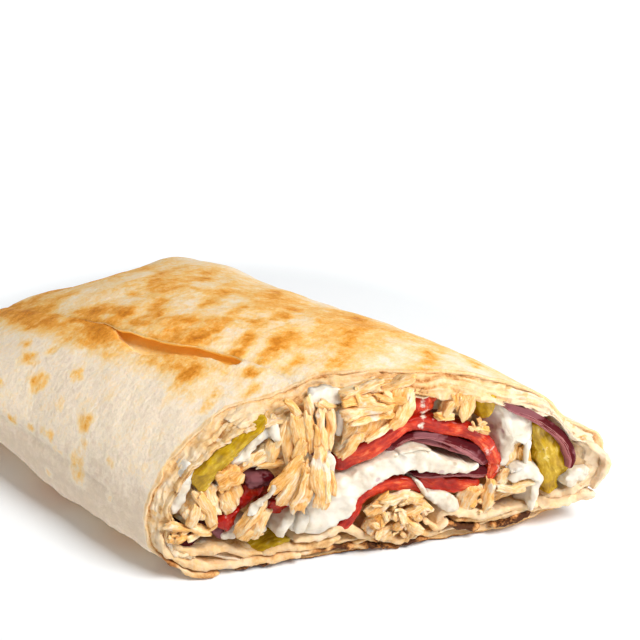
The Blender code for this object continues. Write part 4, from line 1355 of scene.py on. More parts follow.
# %% Folds along the bottom, the lip, charred flakes and curls
LUMPY_BREAD = {
    "bread_fold_bottom": [
        lumpy_bread([(-18, 5.2, 0.8), (-13.6, 5.4, 1.6), (-10.4, 6.3, 1.9), (-7.1, 6.3, 1.9),
            (-5.2, 4.8, 1.7), (-3.6, 4, 1.5), (-1.2, 4.3, 1.6), (0.8, 2.9, 1.7), (2.6, 1.8, 1.5),
            (4.6, 2.4, 1.4), (6.5, 3.3, 1.6), (8.4, 2.6, 1.7), (10.2, 2.6, 1.8), (10.6, 4.6, 1.6),
            (11.2, 6.4, 1.6), (13.2, 6.8, 1.7), (16.4, 5.9, 1.8), (19.6, 5.1, 1.8), (23.3, 5.2, 1.8),
            (27, 5.2, 1.8), (31, 5.6, 1.6)], ahead=0.5, bulge=0.8, lump=0.3, bend=0.3, ragged=0.14,
            toast=0.16, seed=201),
        lumpy_bread([(-24, 3.4, 0.8), (-20, 3.6, 1.4), (-15, 3.5, 1.6), (-10.6, 3.6, 1.7), (-8, 4, 1.2)],
            ahead=0.2, lump=0.25, bend=0.3, ragged=0.16, toast=0.2, seed=202),
        lumpy_bread([(13.6, 4.8, 0.8), (17.4, 4, 1.4), (22, 3.7, 1.6), (27.4, 3.8, 1.4), (33, 4.6, 0.9)],
            ahead=0.2, lump=0.25, bend=0.3, ragged=0.16, toast=0.24, seed=203)],
    "bread_fold_left": [
        lumpy_bread([(-42.6, 11, 0.8, 0), (-41.8, 7.4, 1.4, 0.4), (-39, 4.6, 1.6, 0.5),
            (-36, 2.9, 1.6, 0.6), (-32, 1.9, 1.5, 0.6), (-27.4, 1.7, 1.4, 0.5), (-22.6, 1.8, 1.4, 0.5),
            (-16, 1.8, 0.9, 0.2)], ahead=0.2, bulge=0.8, lump=0.28, bend=0.3, ragged=0.14, toast=0.18,
            seed=204),
        lumpy_bread([(-40.4, 8.6, 0.8), (-38.4, 6.4, 1.4), (-36, 5.3, 1.6), (-33, 5.6, 1.6),
            (-30.4, 5.6, 1.5), (-28, 4.4, 1.5), (-25.4, 3.2, 1.3), (-21, 3.2, 0.8)], ahead=0.4,
            lump=0.26, bend=0.3, ragged=0.14, toast=0.2, seed=205),
        lumpy_bread([(-42.2, 6, 0.5, 0.2), (-39.8, 3.3, 0.9, 0.6), (-37.2, 1.4, 1, 1),
            (-34.4, 0.7, 0.9, 1.4), (-31.6, 0.7, 0.6, 1)], ahead=0.1, bulge=0.4, lump=0.15, bend=0.15,
            ragged=0.2, depth=7, toast=0.34, seed=206)],
    "bread_lip": [
        lumpy_bread([(38.4, 19.4, 1.2), (40.2, 16.8, 3), (41.4, 13.4, 4.4), (40.4, 10, 3.8),
            (37.6, 7.6, 2.6), (33, 6.4, 1.6)], ahead=0.2, bulge=0.6, square=2.6, lump=0.55, bend=0.5,
            ragged=0.22, depth=9, toast=0.14, seed=90),
        lumpy_bread([(39.8, 19, 0.9), (42.2, 17.4, 1.2), (44, 14.6, 1.3), (43.2, 10.6, 1.2),
            (41.6, 8, 0.9)], ahead=1.2, square=2.4, lump=0.3, bend=0.5, ragged=0.3, depth=5, toast=0.1,
            seed=91),
        lumpy_bread([(31, 5.2, 0.8), (35, 5.4, 1.4), (39, 6, 1.6), (42.4, 6.6, 1.2)], ahead=0.8,
            square=2.4, lump=0.35, bend=0.5, ragged=0.3, depth=6, toast=0.16, seed=92)],
    "bread_char": [
        lumpy_bread([(-29, 0.7, 0.4), (-24, 0.8, 0.8), (-18, 1.2, 0.9), (-14, 1.6, 0.9), (-10, 1.7, 0.9),
            (-7, 1.5, 1), (-4.6, 1.7, 1), (-2, 1.4, 1.1), (0.2, 0.6, 1), (2.6, 0.6, 1), (4.6, 1, 0.9),
            (6.4, 1.6, 0.8), (9, 1.2, 0.6)], ahead=0.4, bulge=0.6, square=2.2, lump=0.4, ragged=0.5,
            depth=3, toast=0.95, seed=96),
        lumpy_bread([(-6, 2.4, 0.5), (-3.4, 2.8, 0.9), (-1, 2.2, 0.6)], ahead=0.3, bulge=0.6, square=2.2,
            lump=0.4, ragged=0.5, depth=3, toast=0.75, seed=97),
        lumpy_bread([(10.6, 2.4, 0.6), (11.6, 3.8, 1.2), (13.3, 4.1, 1.1), (15, 3.1, 0.9),
            (17.4, 2.5, 1), (19.4, 2.4, 0.7)], ahead=0.6, bulge=0.8, square=2.2, lump=0.45, ragged=0.4,
            depth=2.5, toast=0.85, seed=93),
        lumpy_bread([(21.6, 2.6, 0.5), (24.2, 2.8, 1.3), (27, 3.2, 1.2), (29.4, 3.8, 0.6)], ahead=0.9,
            square=2.2, lump=0.45, ragged=0.4, depth=2.5, toast=1, seed=95)],
    "bread_curl": [
        lumpy_bread([(4, 1.6, 0.7), (5.4, 4.6, 1), (7.4, 7.4, 1.1), (9.4, 8.2, 0.8)], ahead=1, bulge=0.5,
            square=2.4, lump=0.25, ragged=0.2, depth=6, toast=0.2, seed=98),
        lumpy_bread([(7.4, 6.6, 0.6), (9, 5, 0.9), (10.2, 4, 0.8), (12.6, 5.2, 0.8)], ahead=1.4,
            bulge=0.5, square=2.4, lump=0.25, ragged=0.2, depth=5, toast=0.26, seed=99)],
}

make_pieces(LUMPY_BREAD, bread)

# %% [markdown]
# ## Tomato
#
# Slices of tomato meet the cut edge-on and bend with the roll. Their flesh is wet and deep red,
# paler and more orange towards the core, and their skin is a thin darker line along one side.
# A slice could be a cylinder, cut and bent, but only its cut face shows. So the long ones are
# strips along a few knots, each with its place across, height, thickness and how far it stands
# out of the cut, and those that show a broad face are patches.

# %% Tomato pieces
TOMATOES = {
    "tomato_upper": [strip([(-10, 20.8, 4, 0), (-6, 22.7, 4, 0.6), (-2.5, 24.1, 3.9, 1), (1, 26, 3, 0.8),
        (5, 27.5, 2.5, 0.4), (10, 26.8, 3, 0.6), (14.5, 25.5, 2.8, 0.9), (18.3, 22.8, 3.2, 0.9),
        (20.8, 19, 2.9, 0.6), (21.2, 15.2, 2.4, 0.2), (20.6, 12.6, 1.6, 0)], bulge=0.5, lump=0.22,
        bend=0.3, seed=1)],
    "tomato_lower": [strip([(-10.6, 6.2, 0.9, 0.2), (-8.4, 7.3, 2, 0.8), (-6.8, 9.4, 2.6, 1),
        (-5.4, 12, 2.6, 0.9), (-3.2, 13.9, 2.7, 0.8), (0, 14.8, 2.9, 0.8), (3, 14.7, 2.8, 0.5),
        (5.4, 13.8, 2, 0.2), (7.4, 12.2, 1.2, 0)], bulge=0.5, lump=0.2, seed=2)],
    "tomato_right": [strip([(6.4, 14.2, 1.4), (9.4, 13.2, 2.8), (13, 12.4, 3), (16.6, 11.9, 2.6),
        (19.2, 12.2, 1.6)], ahead=-0.4, bulge=0.4, lump=0.2, seed=3)],
    "tomato_top": [patch([(4.9, 29), (5, 32), (6, 34.2), (8, 34.4), (9.2, 33), (10.6, 32.2), (9.4, 31),
        (8.8, 29.4), (6.6, 28.4)], ahead=-0.6, dome=0.7, lump=0.28, seed=4)],
    "tomato_left": [
        patch([(-26.8, 18.5), (-24.3, 18.3), (-22.6, 18.2), (-24, 15.9), (-26, 14), (-27.6, 13.1),
            (-27.8, 14.8)], ahead=-0.4, dome=0.4, lump=0.22, seed=5),
        patch([(-27.4, 22.6), (-24, 22.6), (-19.4, 22.4), (-19.6, 20.6), (-23, 20.4), (-26.8, 20.6)],
            ahead=-2.4, dome=0.3, seed=6)],
    "tomato_small": [patch([(-32, 11.6), (-30.9, 13.2), (-29.4, 13.6), (-27.8, 14), (-28.2, 11.6),
        (-28.7, 10), (-30.8, 9.9)], ahead=0.6, lump=0.3, jag=0.35, seed=7)],
    "tomato_sliver": [strip([(-22.6, 14.6, 2.2), (-20.4, 13.4, 2.6), (-17, 13.7, 1.8),
        (-13.2, 15.2, 1.5)], ahead=0.2, lump=0.2, seed=8)],
}
print("tomato pieces:", len(TOMATOES))

# %% Tomato material


def tomato_look():
    """Wet red flesh, orange and pale in places, dark along the skin, with a little sauce on it."""
    look, tree, shader, place = new_look(
        "cut_tomato", subsurface_weight=0.1, subsurface_scale=0.0022,
        subsurface_radius=(1.0, 0.25, 0.12), specular_ior_level=0.25)
    patchy = mottle(tree, place, 210.0, 4.0)
    fine = mottle(tree, place, 1100.0, 3.0)
    veins = strands(tree, (0.25, 1.6, 1.0), 1.5)
    ripeness = plus(tree, times(tree, patchy, 0.55), veins, 0.45)
    flesh = ramp(tree, ripeness, [(0.0, (0.24, 0.006, 0.002)), (0.4, (0.44, 0.014, 0.004)),
                                  (0.68, (0.62, 0.05, 0.012)), (1.0, (0.78, 0.22, 0.08))])
    flesh = blend(tree, times(tree, fine, 0.06), flesh, (0.8, 0.2, 0.09))
    skin = between(tree, mark(tree, "across"), 0.45, 0.95)
    flesh = blend(tree, times(tree, skin, 0.75), flesh, (0.32, 0.005, 0.003))
    link(tree, shader, base_color=sauced(tree, place, flesh, -0.03),
         roughness=between(tree, fine, 0.0, 1.0, 0.1, 0.26),
         normal=relief(tree, place, 1000.0, 0.35))
    return look


make_pieces(TOMATOES, tomato_look(), "_slice")

# %% [markdown]
# ## Red onion
#
# Onion rings are thin arcs. The skin side is dark purple, the flesh lilac and glassy, and a fine
# pale line runs between two layers of the bulb. Thin strips with hardly any lump keep them
# crisp. The *across* mark colours them from one side to the other, also where a ring bends,
# which paint by position in space could not do.

# %% Onion pieces
ONIONS = {
    "onion_arc_outer": [strip([(0.6, 22.2, 1.3, -0.2), (2.2, 24, 1.9, 0.2), (5, 25.1, 1.4, 0.5),
        (8.4, 24.8, 1.4, 0.7), (12, 23.4, 1.9, 0.9), (15.8, 21.2, 2.7, 1), (18.4, 18.6, 2.4, 0.8),
        (19.6, 16.6, 1.4, 0.5)], bulge=0.35, lump=0.05, bend=0.12, jag=0.06, seed=11)],
    "onion_arc_inner": [strip([(4, 24.3, 0.7), (8.2, 23.2, 1.3), (11.4, 21.9, 1.5), (14, 20.3, 1.4),
        (16.8, 18.8, 0.8)], bulge=0.35, lump=0.05, bend=0.12, jag=0.06, seed=12)],
    "onion_lower": [strip([(5.2, 16.7, 0.8), (8, 16.2, 1.6), (12, 15.6, 1.8), (15.6, 15.1, 1.8),
        (18, 14.8, 3), (19.9, 14.4, 2.4)], ahead=0.3, bulge=0.4, lump=0.08, bend=0.15, seed=13)],
    "onion_strip_right": [strip([(22.4, 29.6, 0.9), (25, 28.3, 1.6), (27.6, 26.9, 1.9),
        (31.5, 23.8, 2.1), (34.8, 20, 2), (36.4, 16.3, 1.8), (36.2, 13.8, 0.8)], ahead=1.5, bulge=0.4,
        lump=0.05, bend=0.12, jag=0.06, seed=14)],
    "onion_left": [patch([(-26.3, 21), (-23.5, 21.7), (-21.1, 20.7), (-22.5, 18.9), (-25.2, 18.3),
        (-26.6, 19.6)], ahead=1.1, dome=0.9, lump=0.14, seed=15)],
    "onion_cube": [patch([(-39, 8), (-37.6, 9.4), (-35.6, 10.1), (-35.4, 8.4), (-36.6, 7.2),
        (-38.2, 6.8)], dome=0.4, seed=16)],
    "onion_chip": [patch([(-32.9, 10.1), (-31.6, 10.2), (-29.9, 8.3), (-30.4, 7.2), (-32.2, 8.2)],
        ahead=0.2, dome=0.3, seed=17)],
}
print("onion pieces:", len(ONIONS))

# %% Onion material


def onion_look():
    """Dark purple on the skin side, lilac and glassy inside, streaked along the ring."""
    look, tree, shader, place = new_look(
        "red_onion", roughness=0.14, subsurface_weight=0.1, subsurface_scale=0.0016,
        subsurface_radius=(1.0, 0.5, 0.6), specular_ior_level=0.05)
    lines = strands(tree, (0.1, 3.0, 1.0), 1.6)
    shade = math(tree, "ADD", times(tree, mark(tree, "across"), 0.5), 0.5)
    shade = plus(tree, shade, lines, 0.5, 0.5)
    colour = ramp(tree, shade, [(0.0, (0.4, 0.14, 0.14)), (0.16, (0.24, 0.045, 0.05)),
                                (0.24, (0.52, 0.24, 0.22)), (0.34, (0.12, 0.008, 0.011)),
                                (1.0, (0.06, 0.003, 0.005))])
    bloom = between(tree, mottle(tree, place, 128.0, 4.0), 0.5, 0.74)
    colour = blend(tree, times(tree, bloom, 0.34), colour, (0.5, 0.21, 0.23))
    link(tree, shader, base_color=sauced(tree, place, colour, -0.3),
         normal=relief(tree, place, 700.0, 0.25))
    return look


make_pieces(ONIONS, onion_look(), "_ring")

# %% [markdown]
# ## Pickle
#
# Pickled cucumber is glassy yellow green, and its flesh shows paler streaks along the slice.
# Every slice is a patch: its outline is drawn in the cut, and its middle bulges a little.

# %% Pickle pieces
PICKLES = {
    "pickle_left": [patch([(-22, 32.8), (-24, 32), (-27.2, 30.4), (-30.1, 28.2), (-32.9, 25.4),
        (-34.8, 23.3), (-35.9, 21.5), (-35, 19.5), (-33.8, 19.3), (-31.9, 21.4), (-29.4, 24.3),
        (-26.5, 27.2), (-24.1, 29.7), (-22.1, 31.2)], ahead=0.7, dome=0.9, grain=44, seed=21)],
    "pickle_right": [patch([(28.2, 24), (29.2, 20), (30, 15.6), (31.2, 10.6), (33.2, 7.2), (34.8, 8.2),
        (35.2, 10.4), (37.4, 12.6), (35.8, 14.9), (34.4, 18.4), (31.6, 22.4)], ahead=0.3, dome=0.9,
        lean=(-0.12, 0), grain=-70, seed=22)],
    "pickle_top": [patch([(17.2, 33), (19.6, 32.6), (21.2, 31), (21, 28), (19.6, 26.4), (18.4, 27.4),
        (17.8, 30)], ahead=-0.3, dome=0.8, grain=-70, seed=23)],
    "pickle_bottom": [patch([(-25, 3), (-22.6, 4.6), (-19.6, 5.4), (-18, 5), (-19.6, 3.6), (-22.4, 2.8)],
        ahead=0.1, dome=0.4, grain=20, seed=24)],
}
print("pickle pieces:", len(PICKLES))

# %% Pickle material


def pickle_look():
    """Glassy yellow green with streaks along the slice."""
    look, tree, shader, place = new_look(
        "pickled_cucumber", roughness=0.2, subsurface_weight=0.15, subsurface_scale=0.003,
        subsurface_radius=(1.0, 0.8, 0.15), specular_ior_level=0.3)
    lines = strands(tree, (0.22, 1.0, 1.0), 1.3, 4.0)
    shade = plus(tree, times(tree, lines, 0.55), mottle(tree, place, 260.0, 3.0), 0.45)
    colour = ramp(tree, shade, [(0.0, (0.25, 0.135, 0.002)), (0.4, (0.43, 0.245, 0.004)),
                                (0.7, (0.56, 0.36, 0.015)), (1.0, (0.76, 0.59, 0.16))])
    link(tree, shader, base_color=sauced(tree, place, colour, -0.04),
         normal=relief(tree, place, 600.0, 0.35))
    return look


make_pieces(PICKLES, pickle_look(), "_slice")

# %% [markdown]
# ## White sauce
#
# Garlic sauce is thick: it lies in lumps with soft bright edges, hangs in short fingers, and holds
# small specks of herb and onion. A fluid simulation could pour it, but the photograph's lumps
# have to lie where they are. Strips with round sections and strong lumps give the same fingers,
# and a little light scattered under the surface makes it creamy. It is the palest thing here.

# %% Sauce pieces
SAUCES = {
    "sauce_middle": [
        strip([(18.4, 17, 0.8, 0.4), (15.4, 17.1, 2.2, 0.8), (11.6, 17.9, 3, 1), (8, 19.6, 4, 1),
            (4.4, 20.2, 5.2, 1), (0, 19.1, 5, 0.8), (-4, 17.9, 4.4, 1), (-7.6, 15.8, 6.4, 1.2),
            (-10.6, 12.4, 8.4, 1.2), (-13.6, 10, 7.2, 1), (-16.6, 9.8, 4.8, 0.9), (-18.8, 9.8, 3, 0.8)],
            bulge=1.1, square=2.7, lump=0.34, bend=0.5, ragged=0.16, seed=31),
        strip([(-18.2, 13.2, 1.8, 1.6), (-19, 11, 2.2, 2), (-20.2, 8.8, 2, 1.9), (-20.4, 7.2, 1.6, 1.6)],
            bulge=1.1, square=2.2, lump=0.25, seed=32),
        strip([(-16, 12.4, 2, 1.6), (-16.6, 9.8, 2.2, 2), (-17.2, 7.6, 1.5, 1.6)], bulge=1, square=2.2,
            lump=0.25, seed=33),
        strip([(2, 22.4, 0.7, 1.4), (5.4, 23.3, 0.9, 1.6), (8.4, 22.2, 0.6, 1.4)], square=2.2, lump=0.12,
            seed=34)],
    "sauce_upper": [strip([(-9.4, 33.4, 1.6), (-8.7, 30.6, 2.8), (-9.2, 27.4, 1.8)], ahead=0.3, bulge=1,
        square=2.4, lump=0.25, seed=35)],
    "sauce_rim": [patch([(-14, 34.4), (-13.4, 36.4), (-11.2, 37), (-8.8, 36.8), (-8, 35.2), (-10.4, 34)],
        ahead=0.5, lean=(0, -0.4), lump=0.18, ragged=0.12, depth=0.25, seed=36)],
    "sauce_beside_pickle": [
        patch([(-21.3, 30.2), (-23.1, 29.6), (-25.3, 27.6), (-27.4, 25.5), (-28.4, 23.9), (-27.4, 23.2),
            (-25.3, 24.6), (-23.7, 26.3), (-23.1, 27.7), (-21.5, 28)], ahead=-0.3, dome=0.5, lump=0.2,
            seed=37),
        strip([(-20.9, 32, 1.3), (-20.6, 29.6, 2.2), (-20.2, 27.4, 1.5)], ahead=0.3, bulge=0.9,
            square=2.4, lump=0.35, seed=38)],
    "sauce_left_edge": [patch([(-38.3, 21), (-36.9, 24), (-35.7, 24.9), (-35.5, 22), (-37, 18.4),
        (-38.4, 15), (-39.8, 14.4), (-39.6, 17.6)], ahead=-0.1, dome=0.4, lump=0.22, seed=39)],
    "sauce_lower_left": [strip([(-31.6, 8.4, 1.6), (-28.6, 8.4, 2.4), (-25, 8.2, 2.4),
        (-22.4, 8.8, 1.6)], ahead=-0.3, lump=0.25, seed=40)],
    "sauce_on_shred": [strip([(-21.2, 20.8, 0.5, 4.7), (-22.6, 19.2, 1.3, 4.6), (-24, 17.4, 1, 4.1),
        (-25.2, 16.2, 1.6, 3.6), (-26.6, 14.2, 0.7, 3)], depth=1, bulge=0.4, square=2.6, lump=0.22,
        ragged=0.3, jag=0.3, seed=41)],
    "sauce_on_shreds": [patch([(-12.5, 24.6), (-10.5, 24.4), (-10.3, 21.4), (-10.9, 19), (-12.3, 18.6),
        (-12.6, 21.4)], ahead=2.8, depth=0.3, lump=0.15, seed=42)],
    "sauce_lower_right": [
        strip([(7.8, 12.6, 0.9), (10, 11, 2.4), (12.4, 9.2, 3.2), (14.2, 7.8, 2)], ahead=0.8, bulge=1,
            square=2.4, lump=0.35, seed=43),
        strip([(5.6, 15.9, 0.5), (6.8, 14.2, 0.8), (7.6, 12.2, 0.8), (9.2, 10.6, 0.9)], ahead=0.9,
            square=2.2, seed=44)],
    "sauce_right": [
        patch([(21.6, 29.2), (24.2, 28), (27.2, 25.8), (28.6, 23.2), (28.7, 20.6), (27.6, 19.6),
            (26.4, 20.6), (25.2, 20), (24.4, 18.2), (23.6, 16.2), (22.2, 16.8), (22, 20.4),
            (22.2, 24.6)], ahead=0.2, dome=1.3, lump=0.3, seed=45),
        strip([(27.7, 20.8, 1.3, 0.8), (27.5, 18, 0.8, 1), (27.4, 15.4, 0.7, 1.2)], depth=1.5,
            square=2.1, lump=0.1, seed=46)],
    "sauce_lump_right": [
        strip([(24.2, 13.6, 2.4), (26.4, 14.4, 3.2), (28.8, 14.2, 2.6), (30, 12.2, 2), (29.3, 9, 1.7),
            (28.9, 5.6, 1)], ahead=1.6, depth=5, bulge=1.2, square=2.3, lump=0.4, seed=47),
        strip([(24, 15, 1.2), (25.6, 15.6, 1.4), (27, 15.4, 1)], ahead=2, depth=3, bulge=0.8, square=2.2,
            lump=0.45, seed=48)],
    "sauce_on_lip": [patch([(35.8, 11.4), (38, 13.4), (40, 13), (40.6, 11), (38.6, 9.4), (36.4, 9.2)],
        ahead=1.2, dome=0.3, lump=0.22, ragged=0.2, jag=0.4, depth=0.5, seed=49)],
}
print("sauce pieces:", len(SAUCES))

# %% Sauce material


def sauce_look():
    """Satin cream, a little darker in places, with specks of herb and purple onion."""
    look, tree, shader, place = new_look(
        "white_sauce", roughness=0.3, subsurface_weight=0.3, subsurface_scale=0.0025,
        subsurface_radius=(1.0, 0.8, 0.55), specular_ior_level=0.5)
    soft = mottle(tree, place, 240.0, 4.0)
    tone = ramp(tree, soft, [(0.0, (0.6, 0.5, 0.38)), (0.35, (0.74, 0.65, 0.52)),
                             (1.0, (0.82, 0.76, 0.66))])
    cells = add(tree, "TexVoronoi", {"Vector": place, "Scale": 420.0})
    chance = add(tree, "SeparateColor", {"Color": cells.outputs["Color"]})
    speck = times(tree, between(tree, cells.outputs["Distance"], 0.3, 0.16),
                  between(tree, chance.outputs["Red"], 0.9, 0.93))
    kind = blend(tree, between(tree, chance.outputs["Green"], 0.45, 0.55), (0.3, 0.22, 0.12),
                 (0.42, 0.2, 0.26))
    link(tree, shader, base_color=blend(tree, times(tree, speck, 0.55), tone, kind),
         normal=relief(tree, place, 380.0, 0.24))
    return look


make_pieces(SAUCES, sauce_look(), "_lump")
